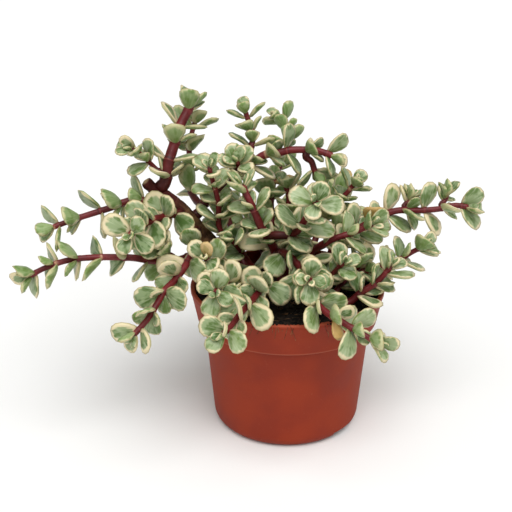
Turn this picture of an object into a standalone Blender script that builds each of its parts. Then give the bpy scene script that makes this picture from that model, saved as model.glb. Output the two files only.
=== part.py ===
"""An elephant bush with variegated leaves, in its moulded plastic nursery pot.

Metres, +Z up. The origin is the middle of the pot's underside, and the front looks along -Y.
Each leafy stem is one solid: its jointed stem with the leaves that grow from it in pairs,
each pair turned a quarter from the one before. Stems stand in plain holes in the soil.
"""

import math
import random

import bmesh
import bpy
import numpy as np
from mathutils import Matrix, Vector
from mathutils.bvhtree import BVHTree

MM = 0.001
GAP = 0.3 * MM
SEAT_GAP = 0.7 * MM
MERGE = 0.001 * MM

# The pot, a 12 cm nursery pot
POT_HEIGHT = 90.5 * MM
RIM_RADIUS = 60 * MM
RIM_WIDTH = 2.4 * MM
COLLAR_FOOT_RADIUS = 56.0 * MM
COLLAR_FOOT_HEIGHT = 69.5 * MM
WALL_TOP_RADIUS = 52.0 * MM
WALL_FOOT_RADIUS = 46.4 * MM
FOOT_BEND = 7.0 * MM
WALL = 1.3 * MM
FLOOR_THICKNESS = 1.8 * MM
POT_SIDES = 30
SOIL_SIDES = 24
CUT_OUT_WIDTH = 17 * MM
CUT_OUT_HEIGHT = 4.5 * MM
CUT_OUT_ANGLES = (-40, 140)
DRAIN_RADIUS = 3.5 * MM
DRAIN_CIRCLE = 27 * MM
DRAIN_COUNT = 6

# The soil, a little below the rim, high at the front and low at the back
SOIL_HEIGHT = 84 * MM
SOIL_SLOPE = 0.045
SOIL_ROUGHNESS = 1.1 * MM
ROOT_DEPTH = 22 * MM
HOLE_CLEARANCE = 0.45 * MM

# Stem routes are written as they are seen from the front, 22 degrees above level:
# millimetres right and up from the middle of the view, and toward the eye
VIEW_ELEVATION = math.radians(22.3)
VIEW_DISTANCE = 593
VIEW_MIDDLE = Vector((-19.4, 0, 108.7))
VIEW_UP = Vector((0, math.sin(VIEW_ELEVATION), math.cos(VIEW_ELEVATION)))
VIEW_TOWARD = Vector((0, -math.cos(VIEW_ELEVATION), math.sin(VIEW_ELEVATION)))

# Leaves are fleshy and obovate, with a flat end
LEAF_WIDTH = 0.85
LEAF_THICKNESS = 2.1 * MM
LEAF_SIDES = 6
LEAF_CLEARANCE = 0.45 * MM
LEAF_ANGLE = 62
# The pairs crowded at a tip: how far back, in millimetres, how large, and how far from the stem
TIP_PAIRS = ((4.5, 0.92, 56), (1.4, 0.70, 36))
STEM_CLEARANCE = 0.5 * MM
# How far a stem's straight pieces may stray from its curve, as a share of its radius
STEM_SAG = 0.12
STEM_RING_GAP = 2 * MM

LEAF_GREEN = (0.36, 0.47, 0.25)
WOOD_BROWN = (0.10, 0.045, 0.024)
SOIL_BLACK = (0.012, 0.009, 0.007)
POT_RED = (0.30, 0.052, 0.024)

SOIL = "soil"


def stem(
    base, route, radii=(2.2, 1.4), leaf=15, every=12, first=9, turn=0, facing=0.6, opened=0, bushy=0.8
):
    """One stem: what carries it, its route, its radii at the foot and tip, and how its leaves sit.

    leaf is a full leaf's length and every the distance between pairs, in millimetres. turn is the
    first pair's angle round the stem from the viewer's side, in degrees. facing is how far the
    leaves roll to the light, opened how many degrees wider the tip's leaves spread, and bushy
    the share of the pairs that have smaller leaves between them.
    """
    return {
        "base": base,
        "route": route,
        "radii": [r * MM for r in radii],
        "leaf": leaf * MM,
        "every": every * MM,
        "first": first * MM,
        "turn": math.radians(turn),
        "facing": facing,
        "opened": opened,
        "bushy": bushy,
    }


STEMS = {
    "old_trunk": stem(
        SOIL,
        [(-12, -15, -27), (-18, -6, -24), (-22, 0, -21), (-28, 8, -18), (-34, 15, -14),
         (-40, 22, -10), (-46, 29, -7), (-52, 34, -4), (-61, 40, -2), (-65, 43, 0), (-68, 46, 2)],
        radii=(5.6, 3.0), leaf=0,
    ),
    "middle_up": stem(
        SOIL,
        [(24, -18, -20), (18, -9, -10), (13, 0, -2), (9, 9, 5), (4, 16, 10), (0, 25, 13),
         (-4, 34, 15), (-7, 40, 15), (-8, 44, 14)],
        radii=(3.6, 1.9), leaf=18, every=12.5, first=38, turn=80, facing=0.8,
    ),
    "middle_rosette": stem(
        "middle_up",
        [(7, 12, 7), (15, 11, 10), (21, 13, 14), (26, 16, 20), (31, 24, 28), (36, 31, 36), (37, 33, 46)],
        radii=(2.5, 1.6), leaf=18, every=12, first=13, turn=45, facing=0.6, opened=24,
    ),
    "right_drooping": stem(
        "middle_up",
        [(12, 3, 1), (17, 2, 10), (21, -1, 17), (27, -7, 23), (29, -13, 29), (32, -23, 37),
         (38, -30, 44), (45, -36, 50), (52, -40, 54), (60, -45, 58), (69, -50, 61), (75, -54, 63)],
        radii=(2.6, 1.6), leaf=17.5, every=13, first=7, turn=75, facing=0.8,
    ),
    "front_left": stem(
        SOIL,
        [(10, -23, -8), (9, -15, 8), (6, -17, 24), (1, -23, 38), (-4, -29, 49),
         (-10, -36, 59), (-17, -45, 69), (-21, -48, 74)],
        radii=(2.5, 1.5), leaf=17, every=12.5, first=34, turn=50, facing=0.75,
    ),
    "front_left_rosette": stem(
        SOIL,
        [(-6, -29, 4), (-13, -20, 22), (-20, -17, 38), (-24, -21, 47), (-25, -22.5, 54)],
        radii=(2.2, 1.5), leaf=16, every=11, first=20, turn=35, facing=0.6, opened=20,
    ),
    "left_drooping": stem(
        "old_trunk",
        [(-36, 18, -12), (-36, 11, 1), (-39, 2, 12), (-44, -7, 22), (-50, -15, 29), (-56, -21, 35),
         (-60, -28, 39), (-66, -38, 43), (-71, -44, 45), (-75.5, -49, 47)],
        radii=(2.6, 1.6), leaf=17, every=13, first=20, turn=0, facing=0.75,
    ),
    "left_front": stem(
        "old_trunk",
        [(-46, 29, -7), (-50, 26, 4), (-56, 24, 13), (-64, 22, 23), (-71, 18, 32), (-76, 14, 40), (-77, 13, 45)],
        radii=(2.6, 1.8), leaf=17, every=11, first=10, turn=60, facing=0.6, opened=16,
    ),
    "left_long": stem(
        "old_trunk",
        [(-54, 35.5, -3), (-74, 34.5, 3), (-91, 29, 4), (-110, 23, 6), (-121, 19, 8), (-126, 17, 9)],
        radii=(2.5, 1.6), leaf=17, every=12.5, first=15, turn=90, facing=0.2, bushy=0.5,
    ),
    "left_low": stem(
        "old_trunk",
        [(-30, 10, -17), (-36, 4, -10), (-46, -2, 0), (-62, -3, 8), (-77, -1, 12), (-102, -1, 15),
         (-117, -3, 16), (-131, -8, 17), (-140, -13, 18)],
        radii=(2.5, 1.6), leaf=17, every=13, first=30, turn=0, facing=0.25, bushy=0.5,
    ),
    "left_upright": stem(
        "old_trunk",
        [(-60, 40, -2), (-58, 47, 0), (-54, 56, 1), (-52, 63, 1), (-49, 72, 0), (-46, 81, -1),
         (-42, 89, -2), (-39.5, 94, -3)],
        radii=(3.8, 2.8), leaf=16.5, every=12.5, first=7, turn=0, facing=0.4,
    ),
    "left_upright_side": stem(
        "left_upright",
        [(-57, 52, 1), (-64, 56, 3), (-66, 58, 5), (-71, 63, 9), (-77, 66, 14)],
        radii=(1.6, 1.2), leaf=15.5, every=9, first=10, turn=90, facing=0.75,
    ),
    "top_arch": stem(
        "old_trunk",
        [(-40, 22, -10), (-31, 33, -13), (-17, 48, -14), (-7, 54, -14), (-1, 58, -13),
         (5, 62, -12), (13, 63, -11), (21, 65, -10), (34, 65, -10), (40, 64, -9), (48, 61, -8)],
        radii=(3.0, 2.0), leaf=15.5, every=12.5, first=22, turn=90, facing=0.65,
    ),
    "behind_upright": stem(
        "top_arch",
        [(-33, 32, -13), (-38, 34, -20), (-40, 40, -22), (-40, 47, -22), (-40, 57, -21),
         (-41, 65, -20), (-39, 77, -20), (-37, 83, -20)],
        radii=(2.4, 1.5), leaf=17, every=12, first=12, turn=45, facing=0.65,
    ),
    "top_middle": stem(
        "top_arch",
        [(-1, 58, -13), (-1, 64, -14), (-2, 73, -15), (-4, 81, -15), (-6, 87, -14), (-6.5, 89.5, -13)],
        radii=(2.2, 1.5), leaf=14.5, every=10, first=9, turn=90, facing=0.65,
    ),
    "top_thin": stem(
        "top_arch",
        [(20, 66, -10), (19, 71, -22), (19, 74, -27), (18, 81, -31), (15, 85, -33), (13, 86, -32)],
        radii=(1.4, 1.25), leaf=13.5, every=9, first=12, turn=60, facing=0.75,
    ),
    "top_hanging": stem(
        "top_arch",
        [(31, 65, -10), (34, 58, -14), (36, 52, -17), (39, 44, -20), (40, 38, -22)],
        radii=(2.2, 1.5), leaf=15.5, every=10, first=13, turn=70, facing=0.75,
    ),
    "top_short": stem(
        "top_arch",
        [(-12, 51, -14), (-11, 55, -6), (-12, 59, -1)],
        radii=(1.6, 1.3), leaf=14.5, every=8, first=7, turn=70, facing=0.75,
    ),
    "dark_upright": stem(
        "old_trunk",
        [(-21, -1, -22), (-20, 6, -12), (-21, 13, -6), (-23, 20, -3), (-23, 32, 2), (-26, 44, 8),
         (-29, 55, 14)],
        radii=(2.1, 1.4), leaf=15.5, every=11, first=22, turn=90, facing=0.8,
    ),
    "right_middle": stem(
        SOIL,
        [(31, -21, -13), (32, -9, -8), (34, 2, -3), (39, 6, 0), (49, 11, 3), (59, 14, 4),
         (66, 17, 5), (72, 19, 7)],
        radii=(2.6, 1.6), leaf=17, every=12, first=22, turn=45, facing=0.75,
    ),
    "right_long": stem(
        SOIL,
        [(39, -15, -30), (48, -1, -26), (58, 12, -21), (65, 18, -18), (75, 23, -16), (80, 26, -15),
         (88, 28, -14), (101, 28, -13), (113, 29, -12), (122, 31, -11), (131, 30, -10)],
        radii=(2.7, 1.7), leaf=17, every=12.5, first=24, turn=0, facing=1.2, bushy=0.7,
    ),
    "right_long_side": stem(
        "right_long",
        [(91, 28, -14), (94, 33, -16), (96, 38, -17)],
        radii=(1.5, 1.2), leaf=13.5, every=7, first=5, turn=90, facing=1.0,
    ),
    "right_long_end": stem(
        "right_long",
        [(114, 29, -12), (116, 34, -15), (118, 40, -17)],
        radii=(1.4, 1.2), leaf=13.5, every=7, first=5, turn=90, facing=1.0,
    ),
    "right_behind": stem(
        "right_long",
        [(49, -1, -26), (49, 12, -32), (52, 25, -33), (52, 34, -32), (57, 40, -30), (61, 45, -27)],
        radii=(2.2, 1.5), leaf=15.5, every=11, first=16, turn=30, facing=0.7,
    ),
    "right_back": stem(
        SOIL,
        [(53, -19, -17), (59, -13, -12), (67, -9, -9), (76, -6, -8), (85, -4, -8), (95, 2, -8),
         (101, 5, -6), (104, 6, -5)],
        radii=(2.3, 1.5), leaf=17, every=12, first=16, turn=45, facing=0.7,
    ),
    "right_front": stem(
        SOIL,
        [(50, -33, 15), (58, -28, 17), (65, -22, 19), (73, -17, 21), (80, -10, 23), (83, -6, 24)],
        radii=(2.4, 1.6), leaf=18, every=12, first=14, turn=40, facing=0.7,
    ),
    "front_rosette": stem(
        "right_drooping",
        [(28, -10, 26), (31, -12, 36), (33, -14.5, 46), (33, -15, 51)],
        radii=(1.8, 1.4), leaf=14.5, every=9, first=8, turn=20, facing=0.5, opened=18,
    ),
    "left_twig": stem(
        "left_low",
        [(-52, -3, 3), (-55, 2, 12), (-60, 7, 20)],
        radii=(1.6, 1.2), leaf=14, every=9, first=8, turn=60, facing=0.5,
    ),
    "rim_right": stem(
        SOIL,
        [(45, -27, 6), (52, -18, 4), (58, -10, 1), (62, -3, -2)],
        radii=(1.9, 1.4), leaf=15.5, every=10, first=9, turn=20, facing=0.75,
    ),
    "inner_left": stem(
        SOIL,
        [(-15, -25, -4), (-21, -12, 2), (-27, -4, 12), (-32, -1, 26)],
        radii=(2.0, 1.4), leaf=15.5, every=11, first=12, turn=20, facing=0.75,
    ),
    "inner_middle": stem(
        SOIL,
        [(4, -22, -20), (-2, -7, -14), (-10, 4, -4), (-16, 11, 8)],
        radii=(2.0, 1.4), leaf=17, every=11, first=12, turn=60, facing=0.75,
    ),
    "inner_right": stem(
        SOIL,
        [(38, -26, 2), (43, -17, 10), (48, -10, 18), (54, -4, 26)],
        radii=(1.9, 1.4), leaf=15.5, every=10, first=10, turn=30, facing=0.75,
    ),
    "inner_top": stem(
        SOIL,
        [(15, -15, -30), (16, 1, -36), (17, 19, -36), (20, 34, -34), (18, 44, -30)],
        radii=(2.2, 1.5), leaf=17, every=12, first=16, turn=20, facing=0.7,
    ),
    "back_left_high": stem(
        SOIL,
        [(-7, -9, -45), (-13, 9, -48), (-19, 30, -58), (-22, 40, -76)],
        radii=(2.4, 1.5), leaf=17, every=12, first=14, turn=30, facing=0.7,
    ),
    "back_middle_high": stem(
        SOIL,
        [(12, -12, -37), (10, 13, -42), (10, 41, -51), (16, 58, -58)],
        radii=(2.4, 1.5), leaf=17, every=12, first=14, turn=60, facing=0.7,
    ),
    "back_right_high": stem(
        SOIL,
        [(31, -11, -40), (37, 12, -44), (47, 35, -58), (51, 45, -74)],
        radii=(2.4, 1.5), leaf=17, every=12, first=14, turn=15, facing=0.7,
    ),
    "back_middle_low": stem(
        SOIL,
        [(21, -8, -50), (21, 11, -54), (22, 23, -67), (21, 24, -88), (20, 20, -107)],
        radii=(2.3, 1.5), leaf=17, every=12.5, first=16, turn=75, facing=0.7,
    ),
    "back_left_low": stem(
        SOIL,
        [(7, -8, -49), (2, 10, -53), (-5, 21, -68), (-12, 21, -90), (-16, 18, -106)],
        radii=(2.3, 1.5), leaf=17, every=12.5, first=16, turn=40, facing=0.7,
    ),
    "back_right_low": stem(
        SOIL,
        [(43, -10, -43), (48, 9, -48), (55, 19, -63), (58, 20, -81), (60, 17, -98)],
        radii=(2.3, 1.5), leaf=17, every=12.5, first=16, turn=10, facing=0.7,
    ),
}


def seen(across, up, toward):
    """The point, in metres, that is seen there from the front."""
    shrink = 1 - toward / VIEW_DISTANCE
    point = VIEW_MIDDLE + Vector((across * shrink, 0, 0)) + VIEW_UP * (up * shrink)
    return (point + VIEW_TOWARD * toward) * MM


def smooth_path(points, step=1.0 * MM):
    """A curve through the points, as evenly spaced points about 1 mm apart."""
    ends = [points[0] * 2 - points[1], *points, points[-1] * 2 - points[-2]]
    fine = [points[0]]
    for before, start, end, after in zip(ends, ends[1:], ends[2:], ends[3:]):
        length = (end - start).length
        leave = (end - before) * (length / ((start - before).length + length))
        arrive = (after - start) * (length / (length + (after - end).length))
        pieces = max(2, round(length / step))
        for piece in range(1, pieces + 1):
            t = piece / pieces
            middle = start + (end - start) * (t**2 * (3 - 2 * t))
            fine.append(middle + leave * (t * (1 - t) ** 2) - arrive * (t**2 * (1 - t)))
    return fine


class Path:
    """A stem's centre line, with the radius and a frame that doesn't twist along it."""

    def __init__(self, points, radii, buried=0.0):
        self.points = points
        self.reach = [0.0]
        for a, b in zip(points, points[1:]):
            self.reach.append(self.reach[-1] + (b - a).length)
        self.length = self.reach[-1]
        self.radii = radii
        self.buried = buried
        self.tangents = []
        for i in range(len(points)):
            ahead = points[min(i + 1, len(points) - 1)]
            behind = points[max(i - 1, 0)]
            self.tangents.append((ahead - behind).normalized())
        side = across(VIEW_TOWARD, self.tangents[0])
        self.sides = []
        for tangent in self.tangents:
            side = across(side, tangent)
            self.sides.append(side)

    def index(self, distance):
        return max(0, int(np.searchsorted(self.reach, distance + MERGE, side="right")) - 1)

    def radius(self, distance):
        share = min(max((distance - self.buried) / (self.length - self.buried), 0), 1)
        return self.radii[0] + (self.radii[1] - self.radii[0]) * share

    def nearest(self, point):
        return min(range(len(self.points)), key=lambda i: (self.points[i] - point).length)


def across(vector, axis):
    """The part of the vector that is square to the axis, one unit long."""
    square = vector - axis * vector.dot(axis)
    if square.length < 1e-6:
        square = axis.orthogonal()
    return square.normalized()


def soil_top(x, y):
    """Height of the soil there: higher in front, lower at the back, and lumpy."""
    lumps = math.sin(x * 210 + 1.3) * math.cos(y * 190 + 0.4) + 0.6 * math.sin(x * 390 - y * 330)
    edge = max(0.0, math.hypot(x, y) - 0.9 * RIM_RADIUS) * 0.35
    return SOIL_HEIGHT - SOIL_SLOPE * y + SOIL_ROUGHNESS * lumps - edge


def stem_path(spec, paths):
    """The stem's centre line, from its hole in the soil or from the side of its parent."""
    points = [seen(*place) for place in spec["route"]]
    if spec["base"] == SOIL:
        foot = points[0]
        rise = ((points[1] - foot).normalized() + Vector((0, 0, 0.6))).normalized()
        foot = Vector((foot.x, foot.y, soil_top(foot.x, foot.y))) + rise * 3 * MM
        deep = foot - rise * ROOT_DEPTH
        buried = [deep + (foot - deep) * (i / 20) for i in range(20)]
        path = smooth_path([foot, *points[1:]])
        path[0] = foot
        return Path(buried + path, spec["radii"], ROOT_DEPTH)
    parent = paths[spec["base"]]
    near = parent.nearest(points[0])
    out = across(points[1] - parent.points[near], parent.tangents[near])
    skin = parent.radius(parent.reach[near]) + SEAT_GAP
    start = parent.points[near] + out * skin
    elbow = start + out * spec["radii"][0]
    rest = [p for p in points[1:] if (p - elbow).length > 2 * spec["radii"][0]]
    return Path(smooth_path([start, elbow, *rest]), spec["radii"])


def leaf_places(path, spec):
    """(distance, angle round the stem, size, lift) of each leaf, in pairs turned a quarter each time."""
    places = []
    distance = path.buried + spec["first"]
    turn = spec["turn"]
    last = path.length - 4.5 * MM
    pairs = max(1, round((last - distance) / spec["every"]))
    gap = (last - distance) / pairs
    for pair in range(pairs):
        size = 1.0 if pair < pairs - 1 else 0.9
        places += [(distance + gap * pair, turn + half, size, LEAF_ANGLE) for half in (0, math.pi)]
        turn += math.pi / 2
    for back, size, lift in TIP_PAIRS:
        at = path.length - back * MM
        spread = lift + spec["opened"]
        places += [(at, turn + half, size, spread) for half in (0, math.pi)]
        turn += math.pi / 2
    return places


def light_from(point):
    """Where the leaves there look for light: forwards and up in front, outwards at the back."""
    behind = max(point.y - 22 * MM, 0.0) / (20 * MM)
    return VIEW_TOWARD + Vector((behind * point.x / RIM_RADIUS, behind, 0.6))


def leaf_frame(path, spec, place, lift=0.0, swing=0.0, scale=1.0):
    """The leaf's matrix, with its length along X, and its upper side towards the stem's tip."""
    distance, turn, size, angle = place
    i = path.index(distance)
    tangent = path.tangents[i]
    side = path.sides[i]
    out = Matrix.Rotation(turn + math.radians(swing), 3, tangent) @ side
    angle = math.radians(angle + lift)
    along = tangent * math.cos(angle) + out * math.sin(angle)
    face = tangent * math.sin(angle) - out * math.cos(angle)
    light = across(light_from(path.points[i]), along)
    face = across(face + light * spec["facing"], along)
    width = face.cross(along)
    length = spec["leaf"] * size * scale
    radius = path.radius(distance)
    root = path.points[i] + out * (0.15 * radius) - face * (0.3 * LEAF_THICKNESS)
    turned = Matrix((along, width, face)).transposed().to_4x4()
    sizes = Matrix.Diagonal((length + 0.85 * radius, length, 0.55 + 0.45 * size * scale, 1))
    return Matrix.Translation(root) @ turned @ sizes


def leaf_shape():
    """A thin fleshy leaf one unit long: a flattened ball whose rim is drawn out to an obovate."""
    bm = bmesh.new()
    bmesh.ops.create_uvsphere(bm, u_segments=LEAF_SIDES, v_segments=2, radius=1)
    for vert in bm.verts:
        if abs(vert.co.z) > 0.5:
            vert.co = Vector((0.56, 0, math.copysign(LEAF_THICKNESS / 2, vert.co.z)))
            continue
        angle = math.atan2(vert.co.y, -vert.co.x)
        share = (1 - math.cos(angle)) / 2
        wide = math.sin(angle) * (0.36 + 0.64 * share**0.7) / 0.81
        cup = 0.35 * LEAF_THICKNESS
        vert.co = Vector((share, wide * LEAF_WIDTH / 2, cup))
    mesh = bpy.data.meshes.new("leaf")
    bm.to_mesh(mesh)
    bm.free()
    return mesh


def in_pot(point):
    """True where the point is in the pot's wall, in the soil, or too near them."""
    away = math.hypot(point.x, point.y)
    margin = 0.8 * MM
    if point.z > POT_HEIGHT + margin or away > RIM_RADIUS + margin:
        return False
    inside = away < RIM_RADIUS - RIM_WIDTH - margin
    return not (inside and point.z > soil_top(point.x, point.y) + 2 * margin)


class Clearances:
    """Every piece placed so far, for keeping the leaves clear of each other."""

    def __init__(self):
        self.trees = []
        self.owners = []
        self.middles = np.zeros((0, 3))
        self.reaches = np.zeros(0)

    def add(self, owner, points, faces):
        self.trees.append(BVHTree.FromPolygons(points, faces))
        self.owners.append(owner)
        cloud = np.array([tuple(p) for p in points])
        middle = cloud.mean(axis=0)
        self.middles = np.vstack([self.middles, middle])
        self.reaches = np.append(self.reaches, np.linalg.norm(cloud - middle, axis=1).max())

    def blocked(self, points, faces, skip):
        cloud = np.array([tuple(p) for p in points])
        middle = cloud.mean(axis=0)
        reach = np.linalg.norm(cloud - middle, axis=1).max()
        near = np.linalg.norm(self.middles - middle, axis=1) < self.reaches + reach
        tree = BVHTree.FromPolygons(points, faces)
        for i in np.nonzero(near)[0]:
            if self.owners[i] != skip and tree.overlap(self.trees[i]):
                return True
        return False


def leaf_points(matrix, mesh, swell=0.0):
    """The leaf's corners in place, moved out by swell so that a clear leaf has room round it."""
    middle = Vector((0.56, 0, 0.2 * LEAF_THICKNESS))
    place = matrix @ middle
    points = []
    for vert in mesh.vertices:
        point = matrix @ vert.co
        flat = Vector((vert.co.x, vert.co.y, middle.z))
        outward = matrix @ flat - place
        if outward.length < 1e-6:
            outward = point - place
        points.append(point + outward.normalized() * swell)
    if swell:
        for i, vert in enumerate(mesh.vertices):
            if abs(vert.co.z) > 0.45 * LEAF_THICKNESS:
                points[i] += (matrix @ vert.co - place).normalized() * swell
    return points


def outer_part(mesh):
    """The faces of the leaf beyond its narrow root, which may cross its neighbours' roots."""
    return [
        tuple(face.vertices)
        for face in mesh.polygons
        if sum(mesh.vertices[v].co.x for v in face.vertices) / 3 > 0.42
    ]


def uneven(place, draw):
    """The leaf's place with a little of nature's unevenness in its size, tilt and turn."""
    distance, turn, size, lift = place
    turn += math.radians(draw.uniform(-10, 10))
    return distance, turn, size * draw.uniform(0.9, 1.08), lift + draw.uniform(-12, 14)


TRIES = [
    (lift, swing, scale)
    for scale in (1.0, 0.86, 0.72)
    for lift in (0, -14, 14, -26)
    for swing in (0, 14, -14, 27, -27)
]


def grow_on(name, path, places, mesh, grown, others, own, draw):
    """Grows leaves at the places. A leaf that meets another piece tries a few tilts and sizes."""
    whole = [tuple(face.vertices) for face in mesh.polygons]
    outer = outer_part(mesh)
    for place in places:
        place = uneven(place, draw)
        for lift, swing, scale in TRIES:
            matrix = leaf_frame(path, STEMS[name], place, lift, swing, scale)
            wide = leaf_points(matrix, mesh, LEAF_CLEARANCE)
            if any(in_pot(point) for point in wide):
                continue
            if others.blocked(wide, whole, name):
                continue
            exact = leaf_points(matrix, mesh)
            if own.blocked(exact, outer, None):
                continue
            grown.append(matrix)
            others.add(name, exact, whole)
            own.add(name, exact, outer)
            break


def grow_leaves(paths, mesh):
    """Each stem's leaf matrices, and what the leaves and stems have taken up."""
    others = Clearances()
    for name, path in paths.items():
        for points, faces in stem_sleeves(path, side_joints(name, paths)):
            others.add(name, points, faces)
    grown = {name: [] for name in paths}
    owns = {name: Clearances() for name in paths}
    for name, path in paths.items():
        spec = STEMS[name]
        if spec["leaf"]:
            places = leaf_places(path, spec)
            draw = random.Random(name)
            grow_on(name, path, places, mesh, grown[name], others, owns[name], draw)
    return grown, others, owns


def stem_sleeves(path, joints):
    """The stem as short eight-sided sleeves, a little thicker than it is."""
    sides = [math.radians(45 * k) for k in range(8)]
    stops = [path.index(stop) for stop in stem_stops(path, joints)]
    for start, end in zip(stops, stops[1:]):
        points = []
        for i in (start, end):
            radius = path.radius(path.reach[i]) + STEM_CLEARANCE
            for angle in sides:
                ring = Matrix.Rotation(angle, 3, path.tangents[i]) @ path.sides[i]
                points.append(path.points[i] + ring * radius)
        faces = [(k, (k + 1) % 8, 8 + (k + 1) % 8, 8 + k) for k in range(8)]
        yield points, faces


def material(name, colour, roughness):
    made = bpy.data.materials.new(name)
    made.use_nodes = True
    shader = made.node_tree.nodes["Principled BSDF"]
    shader.inputs["Base Color"].default_value = (*colour, 1)
    shader.inputs["Roughness"].default_value = roughness
    shader.inputs["Metallic"].default_value = 0
    made.diffuse_color = (*colour, 1)
    return made


def new_collection(name):
    made = bpy.data.collections.new(name)
    bpy.context.scene.collection.children.link(made)
    return made


def add_object(name, mesh, collection):
    made = bpy.data.objects.new(name, mesh)
    collection.objects.link(made)
    return made


def turned(name, profile, collection, sides):
    """A turned solid from a profile of (radius, height) corners, by the Screw modifier."""
    mesh = bpy.data.meshes.new(name)
    corners = [(radius, 0, height) for radius, height in profile]
    mesh.from_pydata(corners, [(i, i + 1) for i in range(len(corners) - 1)], [])
    made = add_object(name, mesh, collection)
    screw = made.modifiers.new("turn", "SCREW")
    screw.steps = sides
    screw.render_steps = sides
    screw.use_merge_vertices = True
    screw.merge_threshold = MERGE
    screw.use_smooth_shade = True
    return made


def apply_modifiers(obj):
    """The object's evaluated mesh takes the place of its own."""
    graph = bpy.context.evaluated_depsgraph_get()
    mesh = bpy.data.meshes.new_from_object(obj.evaluated_get(graph))
    obj.modifiers.clear()
    obj.data = mesh


def foot_bend(radius, height, bend, count=4):
    """Corners of the rounded foot, from the wall down to the underside."""
    for k in range(count):
        angle = math.pi / 2 * (k / (count - 1))
        yield radius - bend * (1 - math.cos(angle)), height + bend * (1 - math.sin(angle))


def make_pot(parts, cutters):
    ledge = COLLAR_FOOT_HEIGHT
    collar = WALL
    inner_top = RIM_RADIUS - RIM_WIDTH
    profile = [(0, FLOOR_THICKNESS)]
    inside = list(foot_bend(WALL_FOOT_RADIUS - WALL, FLOOR_THICKNESS, FOOT_BEND - WALL))
    profile += reversed(inside)
    profile += [
        (WALL_TOP_RADIUS - WALL, ledge - 1.5 * MM),
        (COLLAR_FOOT_RADIUS - collar, ledge + WALL),
        (inner_top, POT_HEIGHT - 1.5 * MM),
        (inner_top + 0.4 * MM, POT_HEIGHT),
        (RIM_RADIUS - 0.5 * MM, POT_HEIGHT),
        (RIM_RADIUS, POT_HEIGHT - 0.6 * MM),
        (RIM_RADIUS - 0.1 * MM, POT_HEIGHT - 3 * MM),
        (COLLAR_FOOT_RADIUS + 0.2 * MM, ledge + 0.5 * MM),
        (COLLAR_FOOT_RADIUS - 0.5 * MM, ledge),
        (WALL_TOP_RADIUS, ledge - 0.6 * MM),
    ]
    profile += list(foot_bend(WALL_FOOT_RADIUS, 0, FOOT_BEND))
    profile += [(0, 0)]
    pot = turned("pot", profile, parts, POT_SIDES)
    apply_modifiers(pot)
    for number, angle in enumerate(CUT_OUT_ANGLES):
        bpy.ops.mesh.primitive_cube_add(size=1)
        cutter = bpy.context.object
        cutter.name = f"cut_out_{number}"
        cutter.scale = (CUT_OUT_WIDTH, 14 * MM, 2 * CUT_OUT_HEIGHT)
        facing = math.radians(angle)
        middle = WALL_FOOT_RADIUS - FOOT_BEND + 8 * MM
        cutter.location = (middle * math.cos(facing), middle * math.sin(facing), 0)
        cutter.rotation_euler = (0, 0, facing - math.pi / 2)
        cut(pot, cutter, cutters)
    for number in range(DRAIN_COUNT):
        angle = 2 * math.pi * number / DRAIN_COUNT
        bpy.ops.mesh.primitive_cylinder_add(vertices=12, radius=DRAIN_RADIUS, depth=8 * MM)
        cutter = bpy.context.object
        cutter.name = f"drain_{number}"
        cutter.location = (DRAIN_CIRCLE * math.cos(angle), DRAIN_CIRCLE * math.sin(angle), 0)
        cut(pot, cutter, cutters)
    apply_modifiers(pot)
    pot.data.materials.append(material("moulded_polypropylene", POT_RED, 0.42))
    return pot


def cut(solid, cutter, cutters):
    """Takes the cutter's shape out of the solid."""
    for collection in list(cutter.users_collection):
        collection.objects.unlink(cutter)
    cutters.objects.link(cutter)
    cutter.hide_render = True
    cutter.display_type = "WIRE"
    difference = solid.modifiers.new(cutter.name, "BOOLEAN")
    difference.operation = "DIFFERENCE"
    difference.object = cutter


def make_soil(parts, cutters, paths):
    ledge = COLLAR_FOOT_HEIGHT
    side = GAP + WALL
    rings = [k * RIM_RADIUS / 6 for k in range(1, 6)]
    top = RIM_RADIUS - RIM_WIDTH - 2.0 * MM
    profile = [(0, SOIL_HEIGHT)]
    profile += [(radius, SOIL_HEIGHT) for radius in rings]
    profile += [
        (top, SOIL_HEIGHT),
        (COLLAR_FOOT_RADIUS - side - 0.3 * MM, ledge + WALL + 0.6 * MM),
        (WALL_TOP_RADIUS - side - 0.5 * MM, ledge - 2.0 * MM),
    ]
    floor = FLOOR_THICKNESS + GAP
    profile += list(foot_bend(WALL_FOOT_RADIUS - side - 0.2 * MM, floor, FOOT_BEND - WALL))
    profile += [(0, floor)]
    soil = turned("soil", profile, parts, SOIL_SIDES)
    apply_modifiers(soil)
    for vert in soil.data.vertices:
        if vert.co.z > SOIL_HEIGHT - 0.1 * MM:
            vert.co.z = soil_top(vert.co.x, vert.co.y)
    for name, path in paths.items():
        if not path.buried:
            continue
        way = path.tangents[0]
        radius = path.radii[0] + HOLE_CLEARANCE
        above = 12 * MM
        depth = path.buried + above
        middle = path.points[0] + way * (depth / 2 - 0.5 * MM)
        bpy.ops.mesh.primitive_cylinder_add(vertices=8, radius=radius, depth=depth)
        cutter = bpy.context.object
        cutter.name = f"hole_{name}"
        cutter.location = middle
        cutter.rotation_euler = way.to_track_quat("Z", "Y").to_euler()
        cut(soil, cutter, cutters)
    apply_modifiers(soil)
    soil.data.materials.append(material("peat_soil", SOIL_BLACK, 0.95))
    return soil


def sag(path, start, end):
    """How far the path strays from a straight line between two of its points."""
    a, b = path.points[start], path.points[end]
    way = (b - a).normalized()
    return max((p - a - way * (p - a).dot(way)).length for p in path.points[start : end + 1])


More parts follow.
